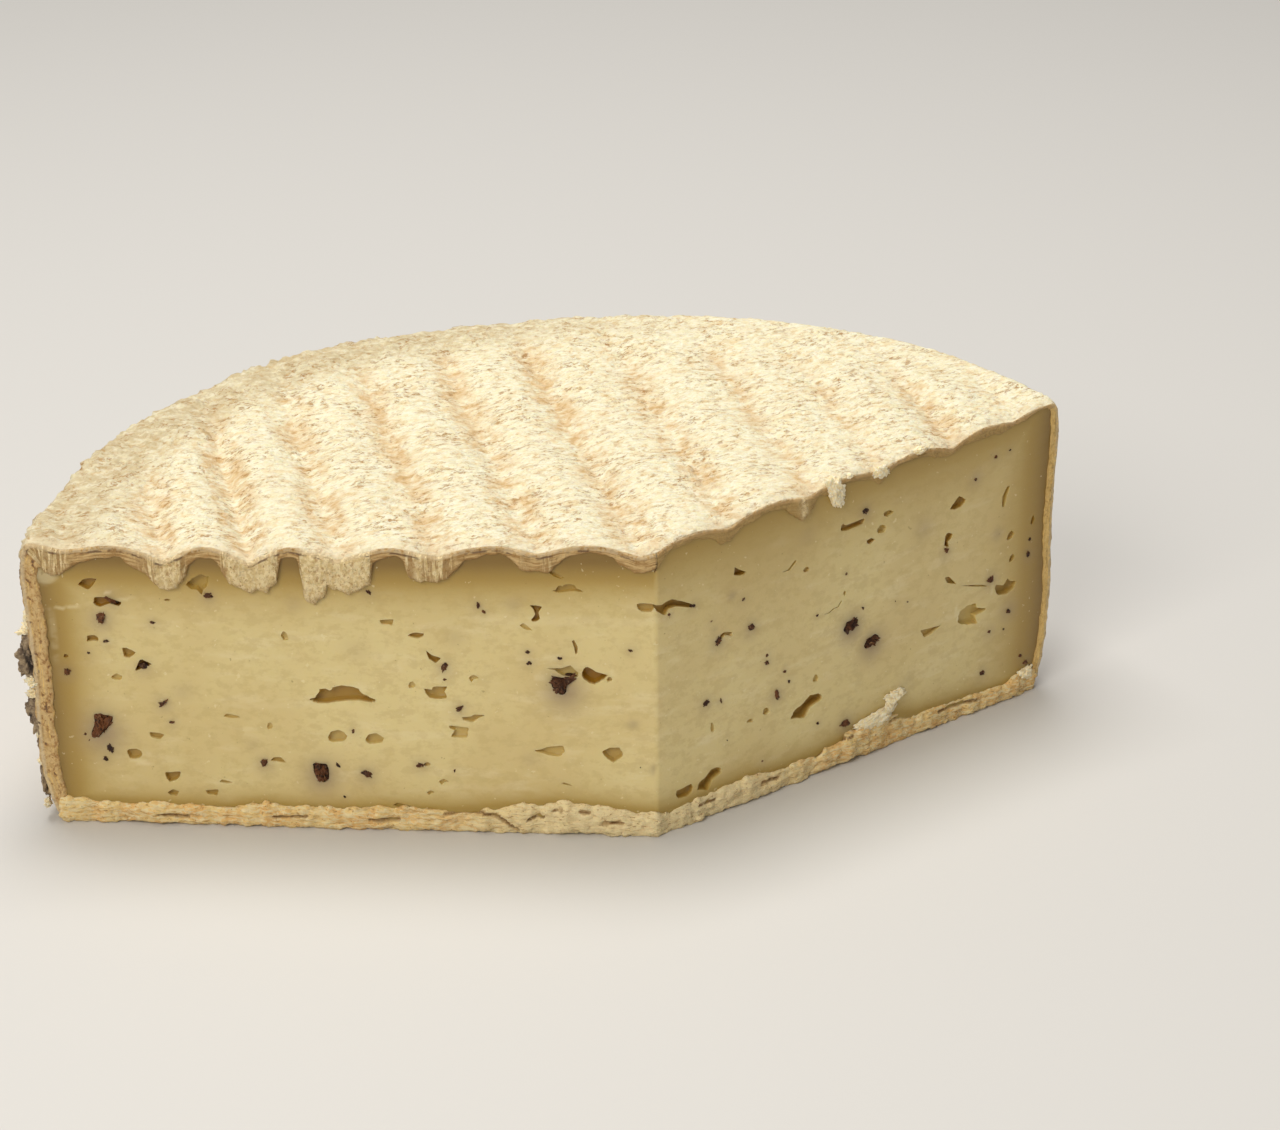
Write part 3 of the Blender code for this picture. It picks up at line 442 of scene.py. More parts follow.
RIGHT_SPECKS = (
    (28, 47.3, 2.2, 1.9), (18, 46.8, 2.3, 1.9), (33, 38.2, 0.9, 0.9), (33, 36.3, 1.2, 1.4),
    (38.7, 31.9, 0.9, 0.8), (40, 28.7, 1.0, 0.8), (36.2, 26.5, 1.0, 3.0), (14.6, 31.4, 2.0, 1.5),
    (58.5, 11.1, 3.1, 1.9), (49.4, 14.1, 0.8, 0.8), (63, 67.8, 2.3, 1.5), (89.8, 49.2, 1.7, 1.6),
    (105.5, 36.6, 2.2, 1.9), (118.3, 40, 1.2, 1.9), (118.6, 44, 0.9, 0.9), (112.3, 25.6, 1.6, 1.6),
    (106, 21.6, 1.1, 0.9), (110.9, 20.7, 1.0, 0.8), (104.2, 10.2, 1.4, 1.2), (25.5, 55.5, 1.1, 1.0),
    (10.8, 58.3, 1.4, 0.9), (3.6, 58.2, 0.9, 0.8), (16, 52.6, 0.8, 0.6), (73.5, 40.2, 0.7, 0.6),
    (77.6, 38.8, 0.8, 0.8), (19, 30.5, 0.6, 1.6), (110, 71, 0.9, 0.8), (105.3, 70.4, 1.2, 1.0),
    (99, 66, 0.8, 0.7), (63, 41.5, 1.0, 0.7), (48.5, 44, 0.8, 0.6), (57.5, 52.5, 0.6, 0.6),
    (119.5, 8.5, 1.5, 1.2), (117.5, 11, 1.0, 0.9), (32, 9.5, 0.7, 0.6), (21, 19, 0.6, 0.5),
)
SPECK_SUNK = 0.22
SPECK_TILT = 25
SPECK_OUTLINES = ("block", "bean", "diamond", "round", "leaf", "shard")

# Mould that stands off the rim by the left cut: outline, millimetres back from the cut, above the base,
# across, tall and out
MOULD_PATCHES = (
    ("block", 3.5, 43.6, 8.0, 12.5, 3.6), ("shard", 3.2, 28.6, 7.0, 8.4, 3.0),
    ("round", 3.0, 64.0, 5.0, 10.0, 1.2), ("block", 3.0, 57.4, 4.0, 5.0, 0.9),
    ("bean", 3.0, 20.0, 4.6, 8.0, 1.1), ("block", 3.4, 10.4, 5.0, 10.0, 1.3),
    ("round", 15, 47, 9.0, 11.0, 1.8), ("shard", 24, 33, 8.0, 10.0, 1.5),
    ("bean", 12, 24, 7.0, 6.0, 1.3), ("round", 20, 14, 6.0, 7.0, 1.2),
)
# Pale frays at the mould's borders, the same way
FRAYS = (
    ("leaf", 1.6, 50.6, 3.4, 2.6, 2.6), ("diamond", 1.4, 37.4, 4.0, 2.4, 2.2),
    ("leaf", 1.8, 33.6, 3.0, 1.8, 2.2), ("tub", 1.2, 24.2, 2.0, 4.6, 1.2),
    ("diamond", 2.0, 15.6, 2.4, 2.6, 1.2), ("leaf", 9.5, 43, 3.0, 4.0, 1.8),
    ("diamond", 1.0, 4.4, 3.2, 2.4, 0.8), ("tub", 0.9, 54.0, 1.6, 5.0, 1.0),
)
# Loose rind on the right cut: outline, from the corner, above the base, across, tall, out, tilt
CRUMBS = (
    ("tab", 52.6, 75.6, 5.6, 6.8, 1.5, 0), ("tub", 54.4, 73.0, 2.6, 3.4, 1.1, 0),
    ("peel", 74.5, 13.2, 6.1, 4.1, 1.1, 0), ("block", 73.0, 11.2, 3.4, 3.0, 1.0, 0),
    ("block", 68.0, 9.0, 12.0, 4.4, 1.1, 12), ("tub", 67.2, 76.8, 5.2, 3.0, 0.9, 0),
    ("leaf", 80.0, 79.2, 4.6, 1.8, 1.0, 10), ("block", 119.5, 5.6, 4.6, 3.4, 1.2, 0),
    ("diamond", 57.5, 78.6, 1.6, 1.2, 0.8, 0),
)
CRUMB_OUT = 0.2
# The forms of juniper, mould and crumbs: how fine the mesh is, how lumpy and how folded
SPECK_FORM = (4, 0.3, 0.3)
BERRY_FORM = (6, 0.25, 0.3)
POCKET_FORM = (4, 0, 0)
MOULD_FORM = (5, 0.28, 0.16)
FRAY_FORM = (5, 0.4, 0.3)
CRUMB_FORM = (5, 0.28, 0.2)


class Cut:
    """One knife cut. A place on it is its distance from the corner, its height and how far out it is."""

    def __init__(self, side, rind, rim_rind, base, shades):
        self.side = side
        self.rind = np.array(rind, float)
        self.rim_rind = rim_rind
        self.base = np.array(base, float)
        self.shades = shades
        self.along = np.array([side * math.sin(CUT_HALF_ANGLE), math.cos(CUT_HALF_ANGLE), 0])
        self.out = np.array([side * math.cos(CUT_HALF_ANGLE), -math.sin(CUT_HALF_ANGLE), 0])

    def place(self, along, height, out=0.0):
        along, height, out = (np.asarray(value, float)[..., None] for value in (along, height, out))
        return CORNER + self.along * along + np.array([0, 0, 1.0]) * height + self.out * out

    def axes(self, tilt):
        turn = np.array(Matrix.Rotation(math.radians(tilt * self.side), 3, Vector(self.out)))
        return turn @ self.along, turn @ np.array([0, 0, 1.0]), self.out

    def meets(self, radius):
        """How far from the corner the cut meets a circle round the wheel's centre."""
        back = CORNER - WHEEL_CENTRE
        middle = back @ self.along
        return np.sqrt(middle**2 - back @ back + np.asarray(radius) ** 2) - middle

    def spot(self, points):
        """Distances from the corner, heights, and how far out of the cut, for an array of points."""
        gone = points - CORNER
        return gone @ self.along, gone[..., 2], gone @ self.out

    def rind_thickness(self, along):
        return np.interp(along, self.rind[:, 0], self.rind[:, 1])

    def base_height(self, along):
        return np.interp(along, self.base[:, 0], self.base[:, 1])


LEFT = Cut(-1, LEFT_RIND, LEFT_RIM_RIND, LEFT_BASE, LEFT_SHADES)
RIGHT = Cut(1, RIGHT_RIND, RIGHT_RIM_RIND, RIGHT_BASE, RIGHT_SHADES)


def wobble(points, scale, octaves=1, shift=0.0):
    """Smooth noise from about -1 to 1. The scale is one number, or one for each axis."""
    spots = (np.asarray(points, float) / scale + shift).tolist()
    if octaves == 1:
        return np.array([noise.noise(spot) for spot in spots])
    return np.array([noise.fractal(spot, 1.0, 2.0, octaves) for spot in spots])


def smoothstep(value, low, high):
    share = np.clip((value - low) / (high - low), 0, 1)
    return share * share * (3 - 2 * share)


def smooth_min(one, two, width):
    share = np.clip(0.5 + 0.5 * (two - one) / width, 0, 1)
    return two + (one - two) * share - width * share * (1 - share)


def behind_cuts(points):
    """How far behind the nearer cut each point lies."""
    return np.minimum(-LEFT.spot(points)[2], -RIGHT.spot(points)[2])


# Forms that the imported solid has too

def rise(x, y):
    gone_x, gone_y = x - WHEEL_CENTRE[0], y - WHEEL_CENTRE[1]
    tallest = RIGHT.place(RIGHT_LENGTH, 0) - WHEEL_CENTRE
    turned = np.abs(np.arctan2(gone_y, gone_x) - math.atan2(tallest[1], tallest[0]))
    share = np.clip(1 - turned / RISE_SPREAD, 0, 1)
    total = RIGHT_RISE * share**2 * (3 - 2 * share) * np.minimum(np.hypot(gone_x, gone_y) / WHEEL_RADIUS, 1)
    for middle_x, middle_y, taller, spread in SWELLS:
        total = total + taller * np.exp(-((np.hypot(x - middle_x, y - middle_y) / spread) ** 2))
    return total


def groove_depth(across):
    places, depths = np.array(GROOVES, float).T
    number = np.clip(np.searchsorted(places, across) - 1, 0, len(places) - 2)
    share = (across - places[number]) / (places[number + 1] - places[number])
    ridge = np.sqrt(np.sin(np.pi * share) ** 2 + GROOVE_SOFTNESS**2)
    return (depths[number] + (depths[number + 1] - depths[number]) * share) * np.maximum(0, 1 - ridge)


def groove_at(x, y):
    across = (x - CORNER[0]) * math.cos(RIDGE_TURN) - (y - CORNER[1]) * math.sin(RIDGE_TURN)
    flat = np.stack([x, y, np.zeros_like(x)], -1)
    radius = np.hypot(x - WHEEL_CENTRE[0], y - WHEEL_CENTRE[1])
    fade = smoothstep(radius, *FADE_RADII) * smoothstep(behind_cuts(flat), *FADE_BEHIND)
    return groove_depth(across + wobble(flat, WANDER_SCALE) * RIDGE_WANDER) * (1 - GROOVE_FADE * fade)


def top_height(x, y):
    x, y = np.atleast_1d(x), np.atleast_1d(y)
    lump = wobble(np.stack([x, y, np.full_like(x, WHEEL_HEIGHT)], -1), TOP_LUMP_SCALE) * UNEVENNESS
    return WHEEL_HEIGHT + rise(x, y) - groove_at(x, y) + lump


def edge_roll(points):
    """How far the top drops where it turns down into a cut."""
    return EDGE_ROLL * (1 - np.clip(behind_cuts(points) / EDGE_ROLL_WIDTH, 0, 1)) ** 2


def outer_height(x, y, profile_height):
    """The top's height, blended into the rim's own height."""
    top = top_height(x, y) - edge_roll(np.stack([x, y, np.zeros_like(x)], -1))
    rim = profile_height * (1 + rise(x, y) / WHEEL_HEIGHT)
    return smooth_min(top, rim, RIM_SOFTNESS)


def rim_shift(points):
    """The rim's unevenness, as a shift away from the wheel's middle."""
    outward = (points - WHEEL_CENTRE) * np.array([1, 1, 0])
    length = np.linalg.norm(outward, axis=-1, keepdims=True)
    fade = smoothstep(points[:, 2], 0, FLAT_BELOW)[:, None] * smoothstep(length, 100, 122)
    return outward / length * wobble(points, RIM_LUMP_SCALE)[:, None] * UNEVENNESS * fade


# Mesh making

def make_object(name, points, faces, values=None):
    """An object from millimetre points, with one named float for each point where values are given."""
    mesh = bpy.data.meshes.new(name)
    mesh.from_pydata((np.asarray(points) * MM).tolist(), [], [list(face) for face in faces])
    for key, numbers in (values or {}).items():
        mesh.attributes.new(key, "FLOAT", "POINT").data.foreach_set("value", np.asarray(numbers, np.float32))
    made = bpy.data.objects.new(name, mesh)
    bpy.context.scene.collection.objects.link(made)
    return made


def close_up(obj, centre=None, merge=0.01):
    """Merges doubled points, closes any open border onto a centre point, and turns the faces outwards."""
    bm = bmesh.new()
    bm.from_mesh(obj.data)
    bmesh.ops.remove_doubles(bm, verts=bm.verts, dist=merge * MM)
    bmesh.ops.dissolve_degenerate(bm, edges=bm.edges, dist=merge * MM / 10)
    if centre is not None:
        middle = bm.verts.new(Vector(centre) * MM)
        for edge in [edge for edge in bm.edges if edge.is_boundary]:
            bm.faces.new((*edge.verts, middle))
    bmesh.ops.recalc_face_normals(bm, faces=bm.faces)
    if bm.calc_volume(signed=True) < 0:
        bmesh.ops.reverse_faces(bm, faces=bm.faces)
    bm.to_mesh(obj.data)
    bm.free()
    obj.data.shade_smooth()


def mesh_points(mesh):
    flat = np.empty(len(mesh.vertices) * 3)
    mesh.vertices.foreach_get("co", flat)
    return flat.reshape(-1, 3) / MM


def mesh_normals(mesh):
    flat = np.empty(len(mesh.vertices) * 3)
    mesh.vertex_normals.foreach_get("vector", flat)
    return flat.reshape(-1, 3)


def mesh_values(mesh, key):
    numbers = np.empty(len(mesh.vertices), np.float32)
    mesh.attributes[key].data.foreach_get("value", numbers)
    return numbers.astype(float)


def set_points(mesh, points):
    mesh.vertices.foreach_set("co", (points * MM).ravel())
    mesh.update()


def set_values(mesh, key, numbers):
    held = mesh.attributes.get(key) or mesh.attributes.new(key, "FLOAT", "POINT")
    held.data.foreach_set("value", np.asarray(numbers, np.float32))


def grid_faces(rows, columns, start=0):
    """Quads over rows of points that follow each other."""
    for row in range(rows - 1):
        for column in range(columns - 1):
            first = start + row * columns + column
            yield (first, first + 1, first + columns + 1, first + columns)


# The rind over the top and round the rim

def profile_points():
    """The rim's profile from the top's ring down to the base, in even steps."""
    line = RIM_PROFILE[RIM_PROFILE[:, 0] >= RING_OFFSET][::-1]
    run = np.concatenate([[0], np.cumsum(np.linalg.norm(np.diff(line, axis=0), axis=1))])
    steps = np.linspace(0, run[-1], int(run[-1] / RIM_CELL) + 1)
    return np.stack([np.interp(steps, run, line[:, 0]), np.interp(steps, run, line[:, 1])], -1)


def bearings(radius):
    """The directions from the wheel's centre at which a circle meets the left and the right cut."""
    ends = [cut.place(cut.meets(radius), 0) - WHEEL_CENTRE for cut in (LEFT, RIGHT)]
    return [math.atan2(end[1], end[0]) for end in ends]


def ring_points(radius, columns):
    left, right = bearings(radius)
    turns = np.linspace(left, right, columns)
    spots = np.stack([np.cos(turns), np.sin(turns), np.zeros(columns)], -1)
    return WHEEL_CENTRE + spots * radius


def top_patch():
    """The top inside its ring: points, triangles, and the numbers of the points along its three sides."""
    ring = ring_points(WHEEL_RADIUS + RING_OFFSET, RIM_COLUMNS)
    sides = []
    for cut in (LEFT, RIGHT):
        reach = float(cut.meets(WHEEL_RADIUS + RING_OFFSET))
        sides.append(cut.place(np.linspace(0, reach, int(reach / CUT_CELL)), 0))
    left, right = sides
    border = np.concatenate([left[:-1], ring[:-1], right[::-1][:-1]])
    rand = random.Random(SEED)
    inside = []
    rows, half = int(TOP_DEPTH / (TOP_CELL * ROW_SHARE)), int(TOP_REACH / TOP_CELL)
    for row in range(rows):
        y = CORNER[1] + row * TOP_CELL * ROW_SHARE
        for column in range(-half, half):
            x = (column + 0.5 * (row % 2)) * TOP_CELL
            shake_x, shake_y = (rand.uniform(-TOP_SHAKE, TOP_SHAKE) for _ in range(2))
            inside.append((x + shake_x, y + shake_y, 0))
    inside = np.array(inside)
    clear = TOP_CELL * TOP_CLEAR
    keep = (-LEFT.spot(inside)[2] > clear) & (-RIGHT.spot(inside)[2] > clear)
    keep &= np.linalg.norm(inside - WHEEL_CENTRE, axis=1) < WHEEL_RADIUS + RING_OFFSET - clear
    points = np.concatenate([border, inside[keep]])
    count = len(border)
    edges = [(number, (number + 1) % count) for number in range(count)]
    made = geometry.delaunay_2d_cdt([Vector(p[:2]) for p in points], edges, [], 1, 1e-6)
    order = [first[0] for first in made[3]]
    triangles = np.array([[order[corner] for corner in face] for face in made[2]])
    left_ids = list(range(len(left)))
    ring_ids = list(range(len(left) - 1, len(left) - 1 + len(ring)))
    right_ids = [0] + list(range(count - 1, len(left) + len(ring) - 3, -1))
    return points, triangles, left_ids, ring_ids, right_ids


def band_path(cut, outline):
    """How far a cut's outline has come, its inner edge, its thickness and whether it is still on the top."""
    steps = np.linalg.norm(np.diff(outline, axis=0), axis=1)
    travel = np.concatenate([[0], np.cumsum(steps)])
    along, height = outline.T
    turn = int(np.argmax(along + height))
    on_top = np.arange(len(along)) <= turn
    rough = wobble(np.stack([travel, travel * 0 + cut.side, travel * 0], -1), EDGE_SIZE, 2)
    thick = cut.rind_thickness(along) * (1 + 0.08 * rough) + 0.22 * rough
    rim_thick = cut.rim_rind * (1 + 0.14 * rough)
    inner_along = np.where(on_top, np.minimum(along, along[turn] - cut.rim_rind), along - rim_thick)
    inner_height = np.where(on_top, height - thick, np.minimum(height - 0.02, height[turn] - thick[turn]))
    return travel, np.stack([inner_along, inner_height], -1), np.where(on_top, thick, rim_thick), on_top


def band(cut, border_ids, points, values, faces):
    """Adds the rind's cut band along one cut, from the border points inwards."""
    border = points[border_ids]
    along, height, _ = cut.spot(border)
    travel, inner, thick, on_top = band_path(cut, np.stack([along, height], -1))
    lump = smoothstep(thick, RIND_THIN, RIND_THICK) * on_top
    reach = int(PROUD_BLUR / CUT_CELL)
    swell = np.convolve(np.pad(lump, reach, mode="edge"), np.hanning(2 * reach + 3)[1:-1], mode="valid")
    swell = np.sqrt(np.clip(swell / (reach + 1), 0, 1)) * on_top
    proud = (PROUD_THIN + (PROUD_THICK - PROUD_THIN) * swell) * smoothstep(height, 0, PROUD_FROM)
    outer = np.stack([along, height], -1)
    start, columns = len(points), len(border)
    rows = [(share, proud * out, 0.0) for share, out in BAND_ROWS]
    rows += [(1.0, proud * BAND_TUCK, 1.0), (1.0, np.full(columns, RIND_ROOT), 1.0)]
    made = []
    for share, stands, _ in rows:
        spot = outer + (inner - outer) * share
        placed = cut.place(spot[:, 0], spot[:, 1], stands)
        placed[0] = CORNER + np.array([0, -stands[0] / math.sin(CUT_HALF_ANGLE), spot[0, 1]])
        made.append(placed)
    faces += [
        (border_ids[column], border_ids[column + 1], start + column + 1, start + column)
        for column in range(columns - 1)
    ]
    faces += list(grid_faces(len(rows), columns, start))
    shares = [share for share, _, _ in rows]
    extra = {
        "section": np.repeat(shares, columns),
        "lump": np.tile(lump, len(rows)),
        "travel": np.tile(travel + (cut.side > 0) * RIGHT_TRAVEL[1], len(rows)),
        "deep": np.outer(shares, thick).ravel(),
        "root": np.repeat([root for _, _, root in rows], columns),
        "groove": np.zeros(len(rows) * columns),
        "rim": np.tile(1.0 - on_top, len(rows)),
    }
    for key, numbers in extra.items():
        values[key] = np.concatenate([values[key], numbers])
    return np.concatenate([points, *made])


def build_rind():
    points, triangles, left_ids, ring_ids, right_ids = top_patch()
    radial = np.linalg.norm((points - WHEEL_CENTRE)[:, :2], axis=1)
    # The profile's top end, up to the ring's place on it, is all that the top needs
    offsets, heights = RIM_PROFILE[::-1][:3].T
    profile = np.interp(radial - WHEEL_RADIUS, offsets, heights)
    points[:, 2] = outer_height(points[:, 0], points[:, 1], profile)
    values = {"groove": groove_at(points[:, 0], points[:, 1]), "rim": np.zeros(len(points))}
    faces = [tuple(face) for face in triangles]
    left_line, right_line = list(left_ids), list(right_ids)
    above = ring_ids
    rim_rows = []
    for offset, height in profile_points()[1:]:
        row = ring_points(WHEEL_RADIUS + offset, RIM_COLUMNS)
        row[:, 2] = outer_height(row[:, 0], row[:, 1], np.full(RIM_COLUMNS, height))
        start = len(points) + len(rim_rows) * RIM_COLUMNS
        below = list(range(start, start + RIM_COLUMNS))
        faces += [(above[n], above[n + 1], below[n + 1], below[n]) for n in range(RIM_COLUMNS - 1)]
        left_line.append(below[0])
        right_line.append(below[-1])
        above = below
        rim_rows.append(row)
    rim_points = np.concatenate(rim_rows)
    rim_points += rim_shift(rim_points)
    values["rim"] = np.concatenate([values["rim"], 1 - smoothstep(rim_points[:, 2], *RIM_LOOKS)])
    values["groove"] = np.concatenate([values["groove"], np.zeros(len(rim_points))])
    points = np.concatenate([points, rim_points])
    for key in ("section", "lump", "travel", "deep", "root"):
        values[key] = np.zeros(len(points))
    points = band(LEFT, left_line, points, values, faces)
    points = band(RIGHT, right_line, points, values, faces)
    rind = make_object("rind", points, faces, values)
    close_up(rind)
    relief(rind.data)
    close_up(rind, centre=(WHEEL_CENTRE[0], WHEEL_CENTRE[1], WHEEL_HEIGHT / 2))
    return rind


def crumple(points, scale, shift, middle=CRUMPLE_MIDDLE):
    """Uneven like crumpled paper: rises with sharp hollows between them."""
    return np.abs(wobble(points, scale, 2, shift)) - middle


def relief(mesh):
    """Moves the rind's points along their normals: crumbs, wrinkles and fibres."""
    points, normals = mesh_points(mesh), mesh_normals(mesh)
    keys = ("section", "lump", "root", "rim", "travel", "deep")
    section, lump, root, rim, travel, deep = (mesh_values(mesh, key) for key in keys)
    outside = section == 0
    # Nearness to the left rim at the back: it makes the relief livelier there, and the top's colour uses it
    # for painted shade
    outer = smoothstep(np.linalg.norm((points - WHEEL_CENTRE)[:, :2], axis=1), 100, 126)
    outer *= smoothstep(points[:, 0], 110, -50)
    coarse = wobble(points, LUMP_SIZE, 2)
    bent = points + CREASE_BEND * np.stack([wobble(points, 6.0, 2, shift) for shift in (1.9, 4.3, 8.1)], -1)
    lively = smoothstep(wobble(points, 15.0, 2, 5.1), -0.5, 0.4) + outer
    flake = crumple(bent, FLAKE_SIZE, 7.3)
    crumb = crumple(bent, CRUMB_SIZE, 3.1)
    crease = smoothstep(crumple(bent, CREASE_SIZE, 9.4, 0), 0.10, 0.0)
    crease *= smoothstep(wobble(points, (4.0, 2.6, 3.5), 2, 2.6), 0.0, 0.3)
    top = 0.34 * coarse + (0.35 + 0.5 * lively) * flake + (0.2 + 0.3 * lively) * crumb
    top -= (0.2 + 0.3 * lively) * crease
    side = 0.35 * coarse + 0.8 * crumple(points, SIDE_SIZE, 5.7) + 0.5 * crumb
    fibre = wobble(np.stack([travel, deep, travel * 0], -1), FIBRE_SIZE, 2, 2.2)
    grain = wobble(points, GRAIN_SIZE, 2, 8.8)
    cut_face = 0.16 * fibre * (1 - lump) + (0.14 + 0.16 * lump) * grain + 0.12 * coarse + 0.7 * lump * crumb
    skin = np.where(outside, top * (1 - rim) + side * rim, cut_face)
    flat = smoothstep(points[:, 2], 0.0, 2.5)
    shift = skin * (1 - root) * flat
    moved = points + normals * shift[:, None]
    moved[:, 2] = np.maximum(moved[:, 2], 0)
    set_points(mesh, moved)
    set_values(mesh, "height", skin)
    set_values(mesh, "crease", crease * outside)
    # Near the cuts, where the top rolls over into them: partly a paler edge of rind, partly a painted
    # highlight
    set_values(mesh, "lip", 1 - smoothstep(behind_cuts(points), 0, 4))
    set_values(mesh, "outer", outer)


# The paste

def paste_columns():
    """Places on the plan along the left cut to the corner, along the right cut and round the back."""
    reach = [float(cut.meets(WHEEL_RADIUS + RIM_BULGE)) - cut.rim_rind + 1 for cut in (LEFT, RIGHT)]
    left = LEFT.place(np.linspace(reach[0], 0, int(reach[0] / PASTE_CELL)), 0)
    right = RIGHT.place(np.linspace(0, reach[1], int(reach[1] / PASTE_CELL))[1:], 0)
    back = ring_points(WHEEL_RADIUS - PASTE_BACK, BACK_COLUMNS)[::-1][1:-1]
    return np.concatenate([left, right, back]), len(left), len(right)


def inside_rim(points):
    """Draws points in towards the wheel's middle where they would come through the rim."""
    outward = (points - WHEEL_CENTRE) * (1, 1, 0)
    radius = np.linalg.norm(outward, axis=1)
    heights = points[:, 2] / (1 + rise(points[:, 0], points[:, 1]) / WHEEL_HEIGHT)
    limit = WHEEL_RADIUS + np.interp(heights, RIM_PROFILE[:, 1], RIM_PROFILE[:, 0]) - PASTE_BELOW
    return points - outward * (np.maximum(radius - limit, 0) / radius)[:, None]


def build_paste():
    plan, left_count, right_count = paste_columns()
    top = top_height(plan[:, 0], plan[:, 1]) - PASTE_BELOW
    rows = int(WHEEL_HEIGHT / PASTE_CELL)
    shares = np.linspace(0, 1, rows)
    rings = [np.column_stack([plan[:, :2], PASTE_FOOT + (top - PASTE_FOOT) * share]) for share in shares]
    inward = WHEEL_CENTRE - plan
    inward /= np.linalg.norm(inward, axis=1)[:, None]
    inward[:left_count] = -LEFT.out
    inward[left_count:left_count + right_count] = -RIGHT.out
    inward[left_count - 1] = (0, 1, 0)
    shoulder = plan + inward * PASTE_SHOULDER
    shoulder[:, 2] = PASTE_TOP
    rings.append(shoulder)
    points = inside_rim(np.concatenate(rings))
    count = len(plan)
    faces = []
    for row in range(len(rings) - 1):
        for column in range(count):
            after = (column + 1) % count
            first = row * count
            faces.append((first + column, first + after, first + count + after, first + count + column))
    low, high = len(points), len(points) + 1
    points = np.concatenate([points, [[*WHEEL_CENTRE[:2], PASTE_FOOT], [*WHEEL_CENTRE[:2], PASTE_TOP]]])
    last = (len(rings) - 1) * count
    for column in range(count):
        after = (column + 1) % count
        faces.append((after, column, low))
        faces.append((last + column, last + after, high))
    paste = make_object("paste", points, faces)
    close_up(paste)
    mesh = paste.data
    points, normals = mesh_points(mesh), mesh_normals(mesh)
    wave = 0.22 * wobble(points, 26, 2, 4.4) + 0.05 * wobble(points, (7, 7, 1.6), 2, 1.1)
    set_points(mesh, points + normals * wave[:, None])
    cut_eyes(paste)
    colour_values(paste.data)
    return paste


def smooth_outline(name, ragged, rand):
    """An outline's points with more between them on a smooth curve, a little ragged."""
    rough = OUTLINES[name]
    count = len(rough)
    outline = []
    for number in range(count):
        before, start, end, after = (np.array(rough[(number + step) % count]) for step in (-1, 0, 1, 2))
        for step in range(EYE_POINTS):
            share = step / EYE_POINTS
            curve = 0.5 * (
                2 * start + (end - before) * share + (2 * before - 5 * start + 4 * end - after) * share**2
                + (3 * start - before - 3 * end + after) * share**3
            )
            straight = start + (end - start) * share
            spot = straight + (curve - straight) * EYE_CURVE
            outline.append(spot * (1 + rand.uniform(-ragged, ragged)))
    return np.array(outline)


def eye_mesh(cut, eye, number, collection):
    name, along, height, wide, tall, tilt, dark = eye
    rand = random.Random(SEED + number)
    outline = smooth_outline(name, EYE_RAGGED, rand)
    across, up, out = cut.axes(tilt)
    depth = (EYE_DEPTHS[0] + EYE_DEPTHS[1] * dark) * min(tall, wide) + EYE_SHALLOWEST
    centre = cut.place(along, height)
    points = []
    for size, deep in EYE_BOWL:
        spread = outline * size * (wide, tall)
        points.append(centre + spread[:, :1] * across + spread[:, 1:] * up - out * deep * depth)
    count = len(outline)
    points.append((centre - out * depth)[None])
    points = np.concatenate(points)
    faces = [tuple(range(count))]
    for ring in range(len(EYE_BOWL) - 1):
        here, deeper = ring * count, (ring + 1) * count
        for step in range(count):
            after = (step + 1) % count
            faces.append((here + step, deeper + step, deeper + after, here + after))
    last = (len(EYE_BOWL) - 1) * count
    faces += [(last + step, len(points) - 1, last + (step + 1) % count) for step in range(count)]
    made = make_object(f"eye_{number}", points, faces)
    close_up(made, merge=0.001)
    bpy.context.scene.collection.objects.unlink(made)
    collection.objects.link(made)


def chunk(centre, axes, outline, size, number, form):
    """Points, faces and swelling of a lumpy piece that shows the named outline from its third axis."""
    detail, rough, fold = form
    bm = bmesh.new()
    bmesh.ops.create_icosphere(bm, subdivisions=detail, radius=1)
    ball = np.array([vert.co[:] for vert in bm.verts])
    faces = [tuple(vert.index for vert in face.verts) for face in bm.faces]
    bm.free()
    line = smooth_outline(outline, EYE_RAGGED, random.Random(SEED + number))
    angles = np.arctan2(line[:, 1], line[:, 0])
    order = np.argsort(angles)
    turns = np.arctan2(ball[:, 1], ball[:, 0])
    reach = np.interp(turns, angles[order], np.hypot(*line.T)[order], period=2 * math.pi)
    shift = np.array([number * 1.7, number / 2, number * 2.3])
    swell = 1 + rough * wobble(ball * 1.6 + shift, 1.0, 2)
    swell += fold * (2 * np.abs(wobble(ball * 3.1 + shift, 1.0, 3)) - 0.5)
    spread = np.stack([reach * size[0], reach * size[1], np.full(len(ball), size[2] / 2)], -1)
    offsets = ball * spread * swell[:, None]
    return centre + offsets @ np.array(axes), faces, swell


def berry_shape(cut, berry, number, grow, form):
    outline, along, height, wide, tall, tilt, _ = berry
    centre = cut.place(along, height, -BERRY_SUNK)
    size = (wide + 2 * grow, tall + 2 * grow, BERRY_DEPTH + 2 * grow)
    return chunk(centre, cut.axes(tilt), outline, size, number, form)


